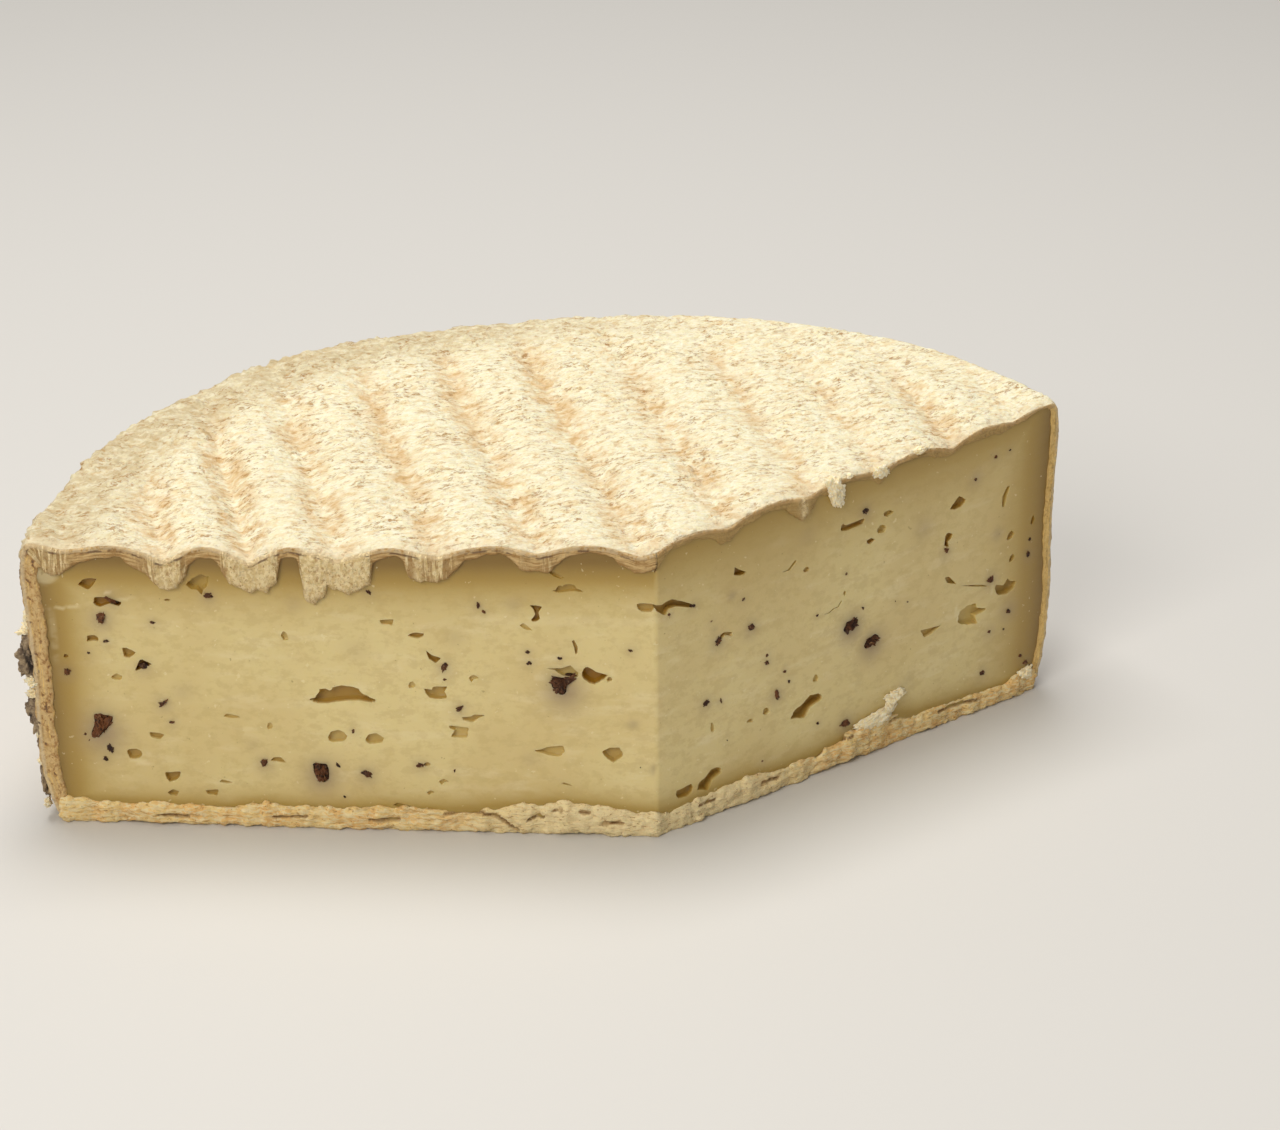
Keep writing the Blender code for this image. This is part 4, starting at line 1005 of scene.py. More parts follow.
def cut_eyes(paste):
    """Cuts the openings and the berries' pockets out of the paste."""
    cutters = bpy.data.collections.new("cutters")
    bpy.context.scene.collection.children.link(cutters)
    number = 0
    for cut, eyes in ((LEFT, LEFT_EYES), (RIGHT, RIGHT_EYES)):
        for eye in eyes:
            number += 1
            eye_mesh(cut, eye, number, cutters)
    for cut, berry, number in all_berries():
        points, faces, _ = berry_shape(cut, berry, number, BERRY_GAP, POCKET_FORM)
        pocket = make_object(f"pocket_{number}", points, faces)
        close_up(pocket)
        bpy.context.scene.collection.objects.unlink(pocket)
        cutters.objects.link(pocket)
    cutting = paste.modifiers.new("openings", "BOOLEAN")
    cutting.operation = "DIFFERENCE"
    cutting.operand_type = "COLLECTION"
    cutting.collection = cutters
    cutting.solver = "EXACT"
    bpy.context.view_layer.update()
    cut_mesh = bpy.data.meshes.new_from_object(paste.evaluated_get(bpy.context.evaluated_depsgraph_get()))
    paste.modifiers.clear()
    paste.data = cut_mesh
    for used in list(cutters.objects):
        bpy.data.objects.remove(used)
    bpy.data.collections.remove(cutters)
    paste.data.shade_smooth()
    paste.data.set_sharp_from_angle(angle=SHARP_ANGLE)


def all_berries():
    seated = [(LEFT, berry) for berry in LEFT_BERRIES] + [(RIGHT, berry) for berry in RIGHT_BERRIES]
    return [(cut, berry, number) for number, (cut, berry) in enumerate(seated, start=1)]


def colour_values(mesh):
    """For each point of the paste: how near the rind, how deep in an opening, how near juniper, how pale."""
    points = mesh_points(mesh)
    shade, dark, grey, pale = (np.zeros(len(points)) for _ in range(4))
    left_side = -LEFT.spot(points)[2] < -RIGHT.spot(points)[2]
    below = WHEEL_HEIGHT + rise(points[:, 0], points[:, 1]) - points[:, 2]
    for cut, here, eyes, specks, berries, smears, spots in (
        (LEFT, left_side, LEFT_EYES, LEFT_SPECKS, LEFT_BERRIES, LEFT_SMEARS, LEFT_SPOTS),
        (RIGHT, ~left_side, RIGHT_EYES, RIGHT_SPECKS, RIGHT_BERRIES, RIGHT_SMEARS, RIGHT_SPOTS),
    ):
        along, height, _ = cut.spot(points)
        rim = cut.meets(WHEEL_RADIUS + 2) - along - cut.rim_rind
        base = height - cut.base_height(along)
        # Darkening near the rind: partly the paste's own darker zone, partly painted shade under the rind's
        # edge and a broad painted falloff of light away from the corner
        near = np.zeros(len(points))
        for gone, (full, fading, most) in zip((below, below, rim, rim, base), cut.shades):
            near = np.maximum(near, most * np.exp(-np.maximum(gone - full, 0) / fading))
        shade = np.where(here, near, shade)
        for smear_along, smear_height, wide, tall, tilt, strength in smears:
            across, up, _ = cut.axes(tilt)
            gone = points - cut.place(smear_along, smear_height)
            away = np.hypot(gone @ across / wide, gone @ up / tall) * 2
            pale = np.where(here, np.maximum(pale, strength * smoothstep(away, *SMEAR_BORDER)), pale)
        nearest = np.full(len(points), math.inf)
        for _, eye_along, eye_height, wide, tall, _, tone in eyes:
            gone = np.hypot((along - eye_along) / wide, (height - eye_height) / tall)
            dark = np.where(here & (gone < nearest) & (gone < EYE_REACH), tone, dark)
            nearest = np.where(here, np.minimum(nearest, gone), nearest)
        for speck_along, speck_height, wide, tall in [*specks, *(berry[1:5] for berry in berries)]:
            size = (wide + tall) / 2
            gone = np.hypot(along - speck_along, (height - speck_height + 0.25 * size) * 0.9)
            glow = np.exp(-((gone / (GREY_REACH[0] + GREY_REACH[1] * size)) ** 2))
            grey = np.where(here, np.maximum(grey, min(1.0, GREY_SHARE * size) * glow), grey)
        for spot_along, spot_height, reach, strength in spots:
            gone = np.hypot(along - spot_along, height - spot_height)
            grey = np.where(here, np.maximum(grey, strength * np.exp(-((gone / reach) ** 2))), grey)
    hollow = smoothstep(behind_cuts(points), 0.3, 0.6)
    values = {"shade": shade, "hollow": hollow, "dark": dark, "grey": grey, "pale": pale}
    for key, numbers in values.items():
        set_values(mesh, key, numbers)


# The base's rind

def segment_distance(along, height, start, end):
    """How far each place on a cut is from the line between two others."""
    across, up = end[0] - start[0], end[1] - start[1]
    share = np.clip(((along - start[0]) * across + (height - start[1]) * up) / (across**2 + up**2), 0, 1)
    return np.hypot(along - start[0] - share * across, height - start[1] - share * up)


def front_columns():
    """Columns of points up the base's rind, along the left cut to the corner and along the right cut."""
    stations = []
    for cut in (LEFT, RIGHT):
        reach = float(cut.meets(WHEEL_RADIUS)) - BASE_SHORT
        places = np.linspace(reach, 0, int(reach / BASE_CELL))
        stations += [(cut, along) for along in (places if cut is LEFT else places[::-1][1:])]
    travel = np.array([cut.side * along for cut, along in stations])
    line = np.stack([travel, travel * 0, travel * 0], -1)
    ragged = wobble(line, BASE_WAVE, 3, 9.2)
    bite = wobble(line, CHIP_SIZE, 2, 2.9)
    columns = []
    for (cut, along), rough, chip in zip(stations, ragged, bite):
        tall = float(cut.base_height(along)) * (1 + 0.10 * rough) + 0.25 * rough
        proud = 0.25 + BASE_PROUD * (0.8 + 0.8 * rough + 0.5 * chip)
        out_way = cut.out if along > 0 else np.array([0, -1 / math.sin(CUT_HALF_ANGLE), 0])
        foot = CHIP_HEIGHT * max(0.0, chip)
        spot = CORNER + cut.along * along
        column = [spot + out_way * BASE_ROOT]
        for share, out in BASE_ROWS:
            height = tall * share + foot * (1 - share)
            column.append(spot + out_way * (proud * out) + np.array([0, 0, height]))
        column.append(spot - out_way * BASE_TOP_ROOT + np.array([0, 0, tall - BASE_DROP]))
        columns.append(column)
    return columns


def back_columns(rows):
    """Columns of points up the slab round the back."""
    up = np.array([0, 0, BASE_BACK_HEIGHT])
    columns = []
    for spot in ring_points(WHEEL_RADIUS - BASE_BACK, BACK_COLUMNS)[::-1][1:-1]:
        inner = WHEEL_CENTRE + (spot - WHEEL_CENTRE) * BASE_BACK_SHARE
        columns.append([inner, *(spot + up * share for share in np.linspace(0, 1, rows - 2)), inner + up])
    return columns


def crack_depth(points):
    """1 along the middle of a crack, 0 away from it."""
    crack = np.zeros(len(points))
    for cut, lines in ((LEFT, LEFT_CRACKS), (RIGHT, RIGHT_CRACKS)):
        along, height, _ = cut.spot(points)
        for line in lines:
            for start, end in zip(line[:-1], line[1:]):
                away = segment_distance(along, height, start, end) / CRACK_WIDTH
                crack = np.maximum(crack, np.exp(-(away**2)))
    return crack


def build_base():
    """A slab of rind under the whole piece, broken along the cuts."""
    columns = front_columns()
    rows = len(columns[0])
    columns += back_columns(rows)
    points = np.array(columns).reshape(-1, 3)
    count = len(columns)
    faces = []
    for column in range(count):
        here, after = column * rows, (column + 1) % count * rows
        faces += [(here + row, after + row, after + row + 1, here + row + 1) for row in range(rows - 1)]
    low, high = len(points), len(points) + 1
    points = np.concatenate([points, [WHEEL_CENTRE, WHEEL_CENTRE + (0, 0, BASE_BACK_HEIGHT)]])
    for column in range(count):
        here, after = column * rows, (column + 1) % count * rows
        faces.append((here, low, after))
        faces.append((here + rows - 1, after + rows - 1, high))
    base = make_object("rind_base", points, faces)
    close_up(base)
    mesh = base.data
    points, normals = mesh_points(mesh), mesh_normals(mesh)
    front = 1 - smoothstep(behind_cuts(points), 0.0, 1.6)
    crack = crack_depth(points)
    layers = wobble(points, (9, 9, 0.9), 2, 6.1)
    grain = wobble(points, 1.1, 2, 2.4)
    flakes = crumple(points, (3.6, 3.6, 1.9), 1.4, 0.2)
    skin = 0.24 * layers + 0.22 * grain + 0.9 * flakes - CRACK_DEPTH * crack
    moved = points + normals * (skin * front)[:, None]
    moved[:, 2] = np.maximum(moved[:, 2], 0)
    set_points(mesh, moved)
    set_values(mesh, "height", skin)
    set_values(mesh, "crack", crack)
    away = np.linalg.norm((points - CORNER)[:, :2], axis=1)
    # Near the corner: painted light on the base's rind, and where its strands and fewer layers show
    set_values(mesh, "bright", 1 - smoothstep(away, *BRIGHT_REACH))
    return base


# Juniper, mould and loose rind

def joined(name, chunks):
    """One object from several chunks, with each point's swelling and its chunk's own random tone."""
    points, faces, swells, tones = [], [], [], []
    start = 0
    for number, (spots, sides, swell) in enumerate(chunks):
        points.append(spots)
        faces += [tuple(start + corner for corner in side) for side in sides]
        swells.append(swell)
        tones.append(np.full(len(spots), random.Random(SEED + number).random()))
        start += len(spots)
    made = make_object(name, np.concatenate(points), faces, {
        "swell": np.concatenate(swells), "tone": np.concatenate(tones),
    })
    made.data.shade_smooth()
    return made


def build_specks():
    chunks = []
    for cut, specks in ((LEFT, LEFT_SPECKS), (RIGHT, RIGHT_SPECKS)):
        for number, (along, height, wide, tall) in enumerate(specks):
            size = (wide + tall) / 2
            centre = cut.place(along, height, -SPECK_SUNK * size)
            outline = SPECK_OUTLINES[number % len(SPECK_OUTLINES)]
            axes = cut.axes(SPECK_TILT * math.sin(number * 2.1))
            shape_number = number + 3 * cut.side
            chunks.append(chunk(centre, axes, outline, (wide, tall, size), shape_number, SPECK_FORM))
    return joined("juniper_specks", chunks)


def build_berries():
    made = []
    for cut, berry, number in all_berries():
        points, faces, swell = berry_shape(cut, berry, number, 0, BERRY_FORM)
        redness = np.full(len(points), berry[6])
        obj = make_object(f"berry_{number}", points, faces, {"swell": swell, "tone": redness})
        obj.data.shade_smooth()
        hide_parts(f"juniper_berry_{number}")
        made.append(obj)
    return made


def rim_chunks(patches, form):
    """Chunks that stand off the rim, some way back from the left cut."""
    chunks = []
    for number, (outline, back, height, across, tall, proud) in enumerate(patches):
        start = LEFT.place(LEFT.meets(WHEEL_RADIUS + 2), height) - WHEEL_CENTRE
        turn = np.array(Matrix.Rotation(-back / WHEEL_RADIUS, 3, "Z"))
        spot = turn @ start
        out = spot * (1, 1, 0)
        out /= np.linalg.norm(out)
        axes = (np.cross((0, 0, 1), out), np.array([0, 0, 1.0]), out)
        chunks.append(chunk(WHEEL_CENTRE + spot, axes, outline, (across, tall, 2 * proud), number, form))
    return chunks


def build_crumbs():
    chunks = rim_chunks(FRAYS, FRAY_FORM)
    for number, (outline, along, height, across, tall, out, tilt) in enumerate(CRUMBS, start=5):
        centre = RIGHT.place(along, height, CRUMB_OUT)
        chunks.append(chunk(centre, RIGHT.axes(tilt), outline, (across, tall, 2 * out), number, CRUMB_FORM))
    return joined("crumbs", chunks)


# Materials

# How far red, green and blue light spread in the rind and in the paste, as shares of a reach
RIND_GLOW = (1.0, 0.7, 0.4)
PASTE_GLOW = (1.0, 0.75, 0.35)


class Looks:
    """A material whose nodes are made by short calls."""

    def __init__(self, name):
        self.material = bpy.data.materials.new(name)
        self.material.use_nodes = True
        self.tree = self.material.node_tree
        self.shader = self.tree.nodes["Principled BSDF"]
        coordinates = self.tree.nodes.new("ShaderNodeTexCoord")
        self.place = coordinates.outputs["Object"]

    def connect(self, socket, value):
        if isinstance(value, bpy.types.NodeSocket):
            self.tree.links.new(value, socket)
        elif value is not None:
            socket.default_value = value

    def value(self, name):
        node = self.tree.nodes.new("ShaderNodeAttribute")
        node.attribute_name = name
        return node.outputs["Fac"]

    def math(self, operation, one, two=None, three=None, clamp=False):
        node = self.tree.nodes.new("ShaderNodeMath")
        node.operation = operation
        node.use_clamp = clamp
        for socket, value in zip(node.inputs, (one, two, three)):
            self.connect(socket, value)
        return node.outputs[0]

    def times(self, product, *others):
        for other in others:
            product = self.math("MULTIPLY", product, other)
        return product

    def ramp(self, value, low, high, to_low=0.0, to_high=1.0):
        """Runs smoothly from to_low, where the value is low, to to_high, where it is high."""
        node = self.tree.nodes.new("ShaderNodeMapRange")
        node.interpolation_type = "SMOOTHSTEP"
        keys = ("Value", "From Min", "From Max", "To Min", "To Max")
        for key, number in zip(keys, (value, low, high, to_low, to_high)):
            self.connect(node.inputs[key], number)
        return node.outputs["Result"]

    def scaled(self, size):
        """Object coordinates over a size in millimetres, one number or one for each axis."""
        node = self.tree.nodes.new("ShaderNodeMapping")
        sizes = np.broadcast_to(np.asarray(size, float), 3)
        node.inputs["Scale"].default_value = tuple(1 / (number * MM) for number in sizes)
        self.connect(node.inputs["Vector"], self.place)
        return node.outputs["Vector"]

    def noise(self, size, detail=3.0, roughness=0.55, vector=None):
        node = self.tree.nodes.new("ShaderNodeTexNoise")
        node.inputs["Scale"].default_value = 1.0
        node.inputs["Detail"].default_value = detail
        node.inputs["Roughness"].default_value = roughness
        self.connect(node.inputs["Vector"], self.scaled(size) if vector is None else vector)
        return node.outputs["Fac"]

    def creases(self, size, width):
        """1 along thin winding lines, 0 elsewhere."""
        away = self.math("ABSOLUTE", self.math("SUBTRACT", self.noise(size, 3, 0.6), 0.5))
        return self.ramp(away, width, 0.0)

    def flat(self, one, two, sizes):
        """A vector from two values, each over its own size."""
        node = self.tree.nodes.new("ShaderNodeCombineXYZ")
        self.connect(node.inputs["X"], self.math("DIVIDE", one, sizes[0]))
        self.connect(node.inputs["Y"], self.math("DIVIDE", two, sizes[1]))
        return node.outputs["Vector"]

    def mix(self, share, one, two):
        node = self.tree.nodes.new("ShaderNodeMix")
        node.data_type = "RGBA"
        self.connect(node.inputs["Factor"], share)
        for socket, value in zip((node.inputs["A"], node.inputs["B"]), (one, two)):
            if not isinstance(value, bpy.types.NodeSocket):
                value = (*value, 1)
            self.connect(socket, value)
        return node.outputs["Result"]

    def coats(self, colour, *coats):
        """A colour with others laid over it in turn, each with the share that it covers."""
        for coat, share in coats:
            colour = self.mix(share, colour, coat)
        return colour

    def bump(self, height, distance, normal=None):
        node = self.tree.nodes.new("ShaderNodeBump")
        node.inputs["Distance"].default_value = distance * MM
        node.inputs["Strength"].default_value = 1.0
        self.connect(node.inputs["Height"], height)
        self.connect(node.inputs["Normal"], normal)
        return node.outputs["Normal"]

    def let_light_in(self, weight, reach, spread=RIND_GLOW):
        self.shader.inputs["Subsurface Weight"].default_value = weight
        self.shader.inputs["Subsurface Scale"].default_value = reach * MM
        self.shader.inputs["Subsurface Radius"].default_value = spread

    def finish(self, colour, roughness, normal=None, **settings):
        self.connect(self.shader.inputs["Base Color"], colour)
        self.connect(self.shader.inputs["Roughness"], roughness)
        self.connect(self.shader.inputs["Normal"], normal)
        for key, value in settings.items():
            self.shader.inputs[key.replace("_", " ")].default_value = value
        return self.material


CREAM = (0.92, 0.84, 0.55)
PALE_CREAM = (0.96, 0.915, 0.71)
CREAM_TAN = (0.84, 0.64, 0.34)
PINK_TAN = (0.76, 0.53, 0.27)
GREY_TAN = (0.62, 0.50, 0.29)
TAN = (0.60, 0.37, 0.14)
DASH_BROWN = (0.48, 0.23, 0.06)
RIND_BROWN = (0.40, 0.19, 0.055)
OCHRE = (0.36, 0.19, 0.05)
WAX_BROWN = (0.46, 0.30, 0.10)
LIP_WHITE = (0.88, 0.76, 0.52)
LIP_GREY = (0.64, 0.49, 0.29)
FIBRE = (0.46, 0.265, 0.09)
FIBRE_PALE = (0.72, 0.50, 0.225)
LUMP_CREAM = (0.76, 0.57, 0.27)
LUMP_PALE = (0.94, 0.76, 0.43)
RIM_PALE = (0.92, 0.63, 0.20)
DARK_LINE = (0.17, 0.095, 0.05)
CRACK_BROWN = (0.24, 0.12, 0.035)
BASE_BROWN = (0.52, 0.32, 0.12)
BASE_TAN = (0.93, 0.565, 0.20)
BASE_CREAM = (1.0, 0.72, 0.30)
BASE_PALE = (1.0, 0.82, 0.47)
PASTE_PALE = (0.75, 0.62, 0.295)
PASTE_WARM = (0.69, 0.545, 0.245)
PASTE_MOTTLE = (0.58, 0.44, 0.18)
# The paste's darker zone by the rind, with painted shade; PASTE_SHADE darkens small pits too
PASTE_DIM = (0.44, 0.29, 0.065)
PASTE_SHADE = (0.24, 0.14, 0.025)
PASTE_GREY = (0.34, 0.24, 0.14)
PASTE_SMEAR = (0.86, 0.75, 0.46)
EYE_OCHRE = (0.60, 0.43, 0.10)
# Painted shade deep in the openings
EYE_DEEP_SHADE = (0.34, 0.165, 0.01)
JUNIPER_BLACK = (0.035, 0.016, 0.010)
JUNIPER_RED = (0.19, 0.065, 0.018)
JUNIPER_PALE = (0.40, 0.24, 0.12)
MOULD_DARK = (0.16, 0.11, 0.07)
MOULD_TAN = (0.38, 0.28, 0.17)
MOULD_PALE = (0.62, 0.50, 0.35)
MOULD_BLACK = (0.03, 0.02, 0.014)
CRUMB_WHITE = (0.93, 0.84, 0.62)
CRUMB_TAN = (0.62, 0.46, 0.26)


def top_colour(looks, broad, patch, mottle, grain, dashes):
    """Cream, with tan in the grooves, brown dashes, and painted shade, greyer out towards the left rim."""
    ramp, times = looks.ramp, looks.times
    groove, height, outer = looks.value("groove"), looks.value("height"), looks.value("outer")
    flecks = ramp(looks.noise((1.5, 0.8, 1.1), 3, 0.6), 0.57, 0.68)
    tan = looks.math("ADD", ramp(groove, 0.3, 1.5), ramp(broad, 0.54, 0.7, 0, 0.4), clamp=True)
    tan = times(tan, ramp(patch, 0.38, 0.56))
    hollow = times(ramp(height, -0.1, -0.4), ramp(grain, 0.62, 0.42))
    worn = times(ramp(looks.value("crease"), 0.4, 1.0), ramp(grain, 0.4, 0.56))
    return looks.coats(
        CREAM,
        (PALE_CREAM, ramp(grain, 0.4, 0.6)),
        (CREAM_TAN, ramp(mottle, 0.5, 0.66, 0, 0.65)),
        (TAN, times(flecks, ramp(mottle, 0.4, 0.6, 0.2, 0.7))),
        (PINK_TAN, times(tan, ramp(mottle, 0.36, 0.56, 0.25, 0.8))),
        (TAN, times(tan, ramp(mottle, 0.56, 0.66, 0, 0.65))),
        # Painted shade: greyer towards the back of the left rim, where the top turns away from the light
        (GREY_TAN, times(ramp(outer, 0.0, 0.9, 0, 0.9), ramp(mottle, 0.35, 0.6, 0.4, 1.0))),
        (TAN, times(hollow, 0.35)),
        (DASH_BROWN, times(worn, 0.8)),
        (DASH_BROWN, times(dashes, 0.9)),
        # Partly the rind's paler edge, partly a painted highlight where the top rolls over into the cut
        (LIP_WHITE, times(looks.value("lip"), 0.45)),
    )


def side_colour(looks, broad, patch, grain):
    ramp = looks.ramp
    return looks.coats(
        TAN,
        (CREAM_TAN, ramp(patch, 0.4, 0.65)),
        (GREY_TAN, ramp(broad, 0.5, 0.7, 0, 0.5)),
        (RIND_BROWN, ramp(looks.value("height"), 0.0, -0.4, 0, 0.75)),
        (LIP_WHITE, ramp(grain, 0.55, 0.68, 0, 0.6)),
    )


def band_colour(looks):
    """The rind that the cuts show: its layers under the top, its upright side and the lumps dragged down."""
    ramp, times = looks.ramp, looks.times
    section, lump, rim = looks.value("section"), looks.value("lump"), looks.value("rim")
    height, travel, deep = looks.value("height"), looks.value("travel"), looks.value("deep")
    right_side = ramp(travel, *RIGHT_TRAVEL)
    layers = looks.noise(1, 4, 0.6, looks.flat(travel, deep, (6.0, 0.5)))
    strands = looks.noise(1, 3, 0.6, looks.flat(travel, deep, (0.8, 7.0)))
    breaks = looks.noise(1, 3, 0.6, looks.flat(travel, deep, (5.0, 3.0)))
    spots = looks.noise((0.9, 0.9, 1.4), 4, 0.6)
    pores = looks.noise((1.2, 1.2, 1.6), 3, 0.6)
    ochre = ramp(spots, 0.56, 0.68, 0, 0.6)
    fibre = looks.coats(FIBRE, (FIBRE_PALE, ramp(layers, 0.42, 0.58)), (OCHRE, ochre))
    upright = looks.coats(
        TAN,
        (FIBRE_PALE, ramp(spots, 0.38, 0.56)),
        (RIM_PALE, ramp(layers, 0.54, 0.66, 0, 0.8)),
        (RIND_BROWN, ramp(pores, 0.53, 0.61, 0, 0.75)),
        (DARK_LINE, ramp(pores, 0.63, 0.68, 0, 0.9)),
        (LIP_WHITE, ramp(deep, 1.3, 0.5, 0, 0.4)),
        (RIM_PALE, times(right_side, 0.55)),
    )
    flank = times(ramp(lump, 1.0, 0.75), ramp(strands, 0.42, 0.54))
    dragged = looks.coats(
        LUMP_CREAM,
        (LUMP_PALE, ramp(spots, 0.42, 0.58)),
        (TAN, ramp(height, -0.1, -0.45, 0, 0.6)),
        (RIND_BROWN, ramp(pores, 0.58, 0.66, 0, 0.55)),
        (OCHRE, ramp(looks.noise(0.6, 2), 0.64, 0.7, 0, 0.8)),
        (OCHRE, times(flank, ramp(travel, *RIGHT_TRAVEL, 0.8, 0.1))),
    )
    line = times(ramp(deep, 0.9, 1.15), ramp(deep, 1.7, 1.4), ramp(rim, 0, 1, 1.0, 0.25))
    inner = times(
        ramp(section, 0.72, 1.0, 0, 0.8), ramp(lump, 0.9, 0.3, 0.35, 1.0), ramp(rim, 0, 1, 1.0, 0.4),
    )
    waxy = times(right_side, ramp(rim, 1, 0, 0, 0.8), ramp(lump, 0.7, 0.2), ramp(deep, 0.2, 0.6))
    return looks.coats(
        fibre,
        (upright, rim),
        (dragged, ramp(lump, 0.1, 0.6)),
        # The section's outermost layer, paler: partly its own colour, partly a painted highlight along the
        # outer edge
        (LIP_GREY, times(ramp(deep, 1.3, 0.8, 0, 0.75), ramp(spots, 0.62, 0.45))),
        (DARK_LINE, times(line, ramp(breaks, 0.47, 0.58, 0, 0.85))),
        (OCHRE, inner),
        (looks.coats(TAN, (WAX_BROWN, ramp(deep, 0.6, 1.5))), waxy),
    )


def rind_looks():
    looks = Looks("rind")
    ramp, times = looks.ramp, looks.times
    broad = looks.noise(34, 3)
    patch = looks.noise(7, 4)
    mottle = looks.noise((3.4, 2.2, 2.8), 4, 0.65)
    grain = looks.noise((1.6, 0.8, 1.2), 5, 0.68)
    dashes = times(looks.creases((3.0, 0.9, 1.6), 0.07), ramp(looks.noise((2.4, 1.5, 2)), 0.48, 0.58))
    dashes = times(dashes, ramp(looks.noise(8, 3), 0.4, 0.6, 0.35, 1.0))
    top = top_colour(looks, broad, patch, mottle, grain, dashes)
    side = side_colour(looks, broad, patch, grain)
    border = looks.math("ADD", looks.value("rim"), looks.math("MULTIPLY_ADD", patch, 1.6, -0.8))
    skin = looks.mix(ramp(border, 0.25, 0.8), top, side)
    colour = looks.mix(ramp(looks.value("section"), 0.0, 0.06), skin, band_colour(looks))
    fine = looks.math("SUBTRACT", looks.noise((1.3, 0.7, 0.8), 5, 0.68), times(dashes, 0.2))
    looks.let_light_in(0.08, 1.5)
    return looks.finish(colour, 0.85, looks.bump(fine, 0.75))


def base_looks():
    looks = Looks("rind_base")
    ramp, times = looks.ramp, looks.times
    bright = looks.value("bright")
    layers = looks.noise((6, 6, 0.8), 4, 0.6)
    strands = looks.noise((0.8, 0.8, 5.0), 3, 0.6)
    patch = looks.noise(5, 4, 0.6)
    spots = looks.noise((1.8, 1.8, 0.55), 5, 0.68)
    flecks = looks.noise(0.7, 3)
    # Painted light: creamier near the corner
    creamy = looks.math("ADD", ramp(patch, 0.36, 0.62), ramp(bright, 0, 1, 0, 0.7), clamp=True)
    colour = looks.coats(
        BASE_TAN,
        (BASE_CREAM, creamy),
        # Painted light near the corner
        (BASE_PALE, times(bright, 0.75)),
        (BASE_BROWN, times(ramp(bright, 0, 1, 0.5, 0.2), ramp(layers, 0.54, 0.64))),
        (BASE_BROWN, times(bright, ramp(strands, 0.54, 0.64, 0, 0.2))),
        (BASE_PALE, ramp(spots, 0.47, 0.57, 0, 0.85)),
        (BASE_BROWN, ramp(looks.value("height"), -0.15, -0.45, 0, 0.7)),
        (RIND_BROWN, ramp(spots, 0.41, 0.32, 0, 0.8)),
        (RIND_BROWN, ramp(flecks, 0.66, 0.72, 0, 0.8)),
        (CRACK_BROWN, times(ramp(looks.value("crack"), 0.3, 0.85), ramp(flecks, 0.38, 0.5, 0.3, 0.85))),
    )
    looks.let_light_in(0.1, 2.0)
    return looks.finish(colour, 0.85, looks.bump(looks.math("ADD", layers, spots), 0.8))


def paste_looks():
    looks = Looks("paste")
    ramp, times = looks.ramp, looks.times
    shade, dark = looks.value("shade"), looks.value("dark")
    smear = looks.noise((14, 14, 4), 4)
    pits = looks.noise(1.5, 2)
    # An opening's own ochre, with painted shade that grows with its darkness
    opening = looks.coats(EYE_OCHRE, (EYE_DEEP_SHADE, dark))
    colour = looks.coats(
        PASTE_WARM,
        (PASTE_PALE, ramp(looks.noise(38, 2), 0.35, 0.65)),
        (PASTE_SMEAR, ramp(smear, 0.52, 0.7, 0, 0.3)),
        (PASTE_MOTTLE, ramp(looks.noise((4, 4, 2.6), 5, 0.7), 0.46, 0.62, 0, 0.4)),
        # Darker near the rind: partly the paste's own colour, partly painted shade
        (PASTE_DIM, ramp(shade, 0, 0.55)),
        (PASTE_SHADE, ramp(shade, 0.35, 1)),
        (PASTE_SMEAR, times(looks.value("pale"), ramp(looks.noise((7, 7, 3), 2), 0.3, 0.5), 0.7)),
        (PASTE_SMEAR, ramp(pits, 0.7, 0.74, 0, 0.4)),
        (PASTE_SHADE, ramp(pits, 0.27, 0.23, 0, 0.45)),
        (PASTE_GREY, times(looks.value("grey"), 0.85)),
        (opening, times(looks.value("hollow"), ramp(dark, 0, 1, 0.6, 1.0))),
    )
    looks.let_light_in(0.35, 4.0, PASTE_GLOW)
    normal = looks.bump(looks.noise(0.8, 3), 0.05, looks.bump(smear, 0.12))
    return looks.finish(colour, 0.46, normal, Coat_Weight=0.08, Coat_Roughness=0.35)


def juniper_looks():
    looks = Looks("juniper")
    bits = looks.noise(0.8, 4, 0.65)
    colour = looks.coats(
        JUNIPER_BLACK,
        (JUNIPER_RED, looks.value("tone")),
        (JUNIPER_RED, looks.ramp(looks.value("swell"), 0.95, 1.25, 0, 0.35)),
        (JUNIPER_BLACK, looks.ramp(looks.noise(1.5, 4, 0.65), 0.5, 0.58, 0, 0.85)),
        (JUNIPER_PALE, looks.ramp(bits, 0.58, 0.68, 0, 0.75)),
    )
    return looks.finish(colour, 0.5, looks.bump(bits, 0.6), Specular_IOR_Level=0.35)


def mould_looks():
    looks = Looks("mould")
    fuzz = looks.noise(0.5, 4, 0.6)
    colour = looks.coats(
        MOULD_DARK,
        (MOULD_TAN, looks.ramp(looks.noise(2.6, 4, 0.6), 0.38, 0.58)),
        (MOULD_PALE, looks.ramp(fuzz, 0.52, 0.7, 0, 0.6)),
        (MOULD_BLACK, looks.ramp(looks.value("swell"), 0.98, 0.8)),
    )
    return looks.finish(colour, 0.95, looks.bump(fuzz, 0.5))


def crumb_looks():
    looks = Looks("crumbs")
    grain = looks.noise(0.7, 4, 0.6)
    colour = looks.coats(
        LUMP_PALE,
        (CRUMB_WHITE, looks.ramp(grain, 0.4, 0.6)),
        (CRUMB_TAN, looks.ramp(looks.value("swell"), 0.95, 0.7, 0, 0.8)),
    )
    looks.let_light_in(0.15, 2.0)
    return looks.finish(colour, 0.85, looks.bump(grain, 0.3))


def dress(obj, material):
    obj.data.materials.clear()
    obj.data.materials.append(material)
    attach(obj, "root")


# Stage

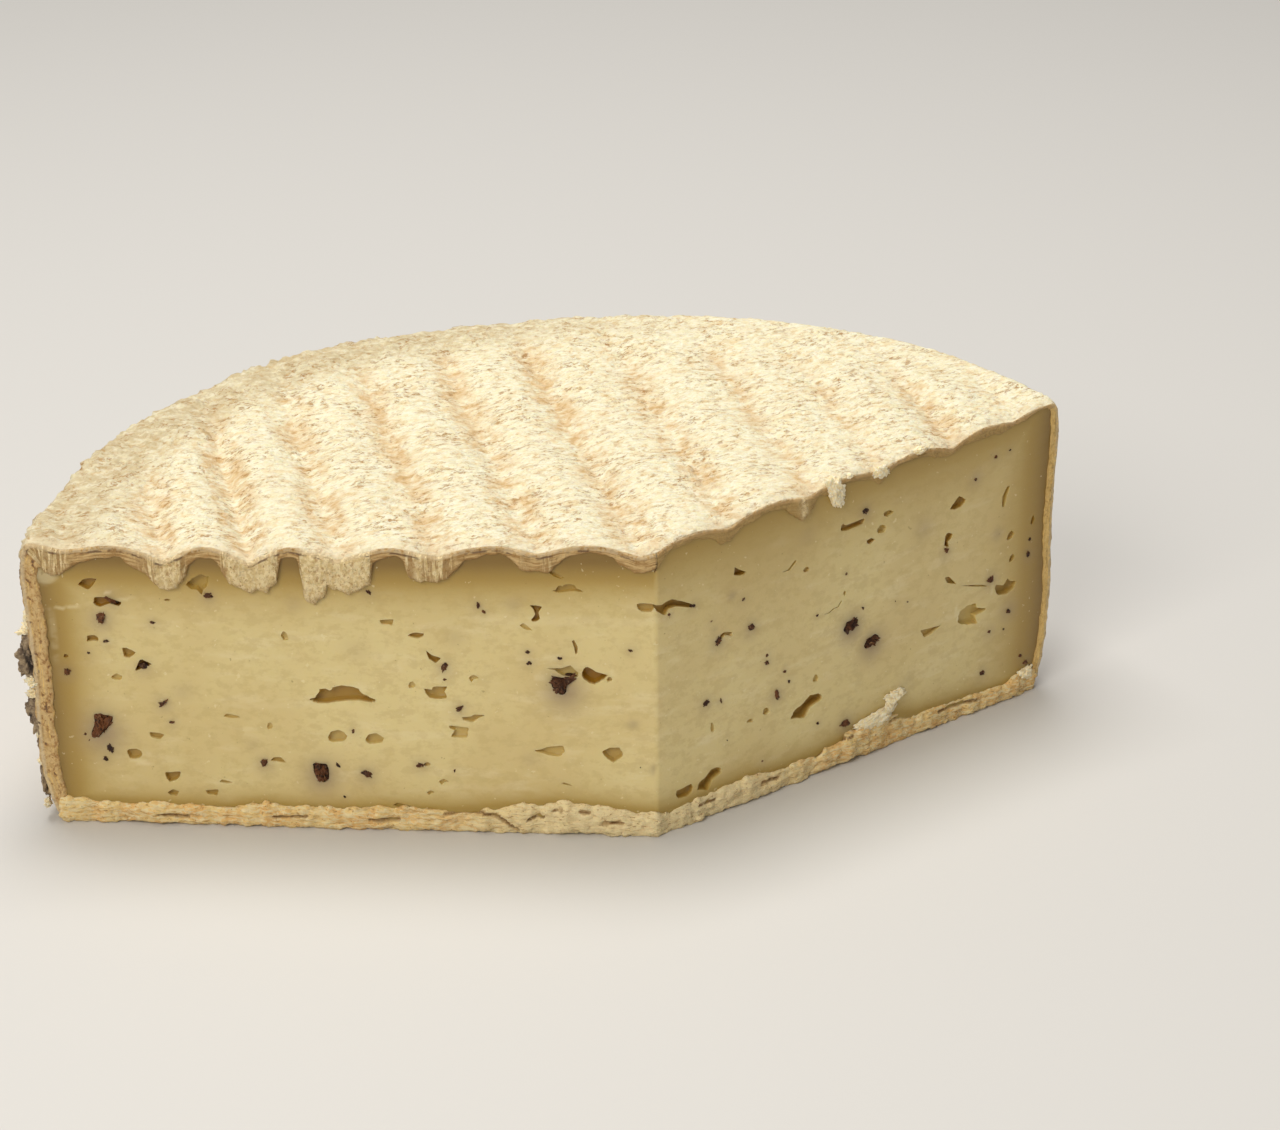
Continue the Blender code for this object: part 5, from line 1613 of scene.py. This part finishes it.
def build_floor():
    bm = bmesh.new()
    bmesh.ops.create_grid(bm, x_segments=2, y_segments=2, size=4)
    mesh = bpy.data.meshes.new("floor")
    bm.to_mesh(mesh)
    bm.free()
    floor = bpy.data.objects.new("floor", mesh)
    bpy.context.scene.collection.objects.link(floor)
    looks = Looks("floor")
    floor.data.materials.append(looks.finish((0.62, 0.605, 0.58, 1), 0.7))


def add_lamp(name, place, target, size, power, colour):
    lamp = bpy.data.lights.new(name, "AREA")
    lamp.shape = "RECTANGLE"
    lamp.size, lamp.size_y = size
    lamp.energy = power
    lamp.color = colour
    obj = bpy.data.objects.new(name, lamp)
    bpy.context.scene.collection.objects.link(obj)
    obj.location = place
    obj.rotation_mode = "QUATERNION"
    obj.rotation_quaternion = (Vector(target) - Vector(place)).to_track_quat("-Z", "Y")


def build_lights():
    middle = (0, 0, 0.04)
    add_lamp("sky", (-0.04, 0.3, 1.4), middle, (0.9, 0.7), 16.3, (1.0, 0.985, 0.96))
    add_lamp("window", (-0.85, -0.9, 1.05), middle, (0.8, 0.7), 12.5, (1.0, 0.965, 0.90))
    world = bpy.data.worlds.new("studio")
    bpy.context.scene.world = world
    world.use_nodes = True
    background = world.node_tree.nodes["Background"]
    background.inputs["Color"].default_value = (1.0, 0.97, 0.92, 1)
    background.inputs["Strength"].default_value = 0.27
    bpy.context.scene.view_settings.view_transform = "Standard"


def build_camera():
    forward = Vector(CAMERA_FORWARD).normalized()
    right = forward.cross(Vector((0, 0, 1))).normalized()
    up = right.cross(forward)
    rolled_right = right * math.cos(CAMERA_ROLL) + up * math.sin(CAMERA_ROLL)
    rolled_up = up * math.cos(CAMERA_ROLL) - right * math.sin(CAMERA_ROLL)
    data = bpy.data.cameras.new("camera")
    data.lens = CAMERA_LENS
    data.sensor_width = CAMERA_SENSOR
    data.sensor_fit = "HORIZONTAL"
    data.clip_start, data.clip_end = 0.01, 20
    camera = bpy.data.objects.new("camera", data)
    bpy.context.scene.collection.objects.link(camera)
    axes = Matrix((rolled_right, rolled_up, -forward)).transposed()
    camera.matrix_world = Matrix.Translation(Vector(CAMERA_PLACE) * MM) @ axes.to_4x4()
    bpy.context.scene.camera = camera


def main():
    for obj in list(bpy.data.objects):
        bpy.data.objects.remove(obj)
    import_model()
    rind, base, paste = build_rind(), build_base(), build_paste()
    for piece, material in ((rind, rind_looks()), (base, base_looks()), (paste, paste_looks())):
        dress(piece, material)
        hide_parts("cheese_wedge")
    juniper = juniper_looks()
    for piece in [*build_berries(), build_specks()]:
        dress(piece, juniper)
    dress(joined("mould", rim_chunks(MOULD_PATCHES, MOULD_FORM)), mould_looks())
    dress(build_crumbs(), crumb_looks())
    build_floor()
    build_lights()
    build_camera()


main()
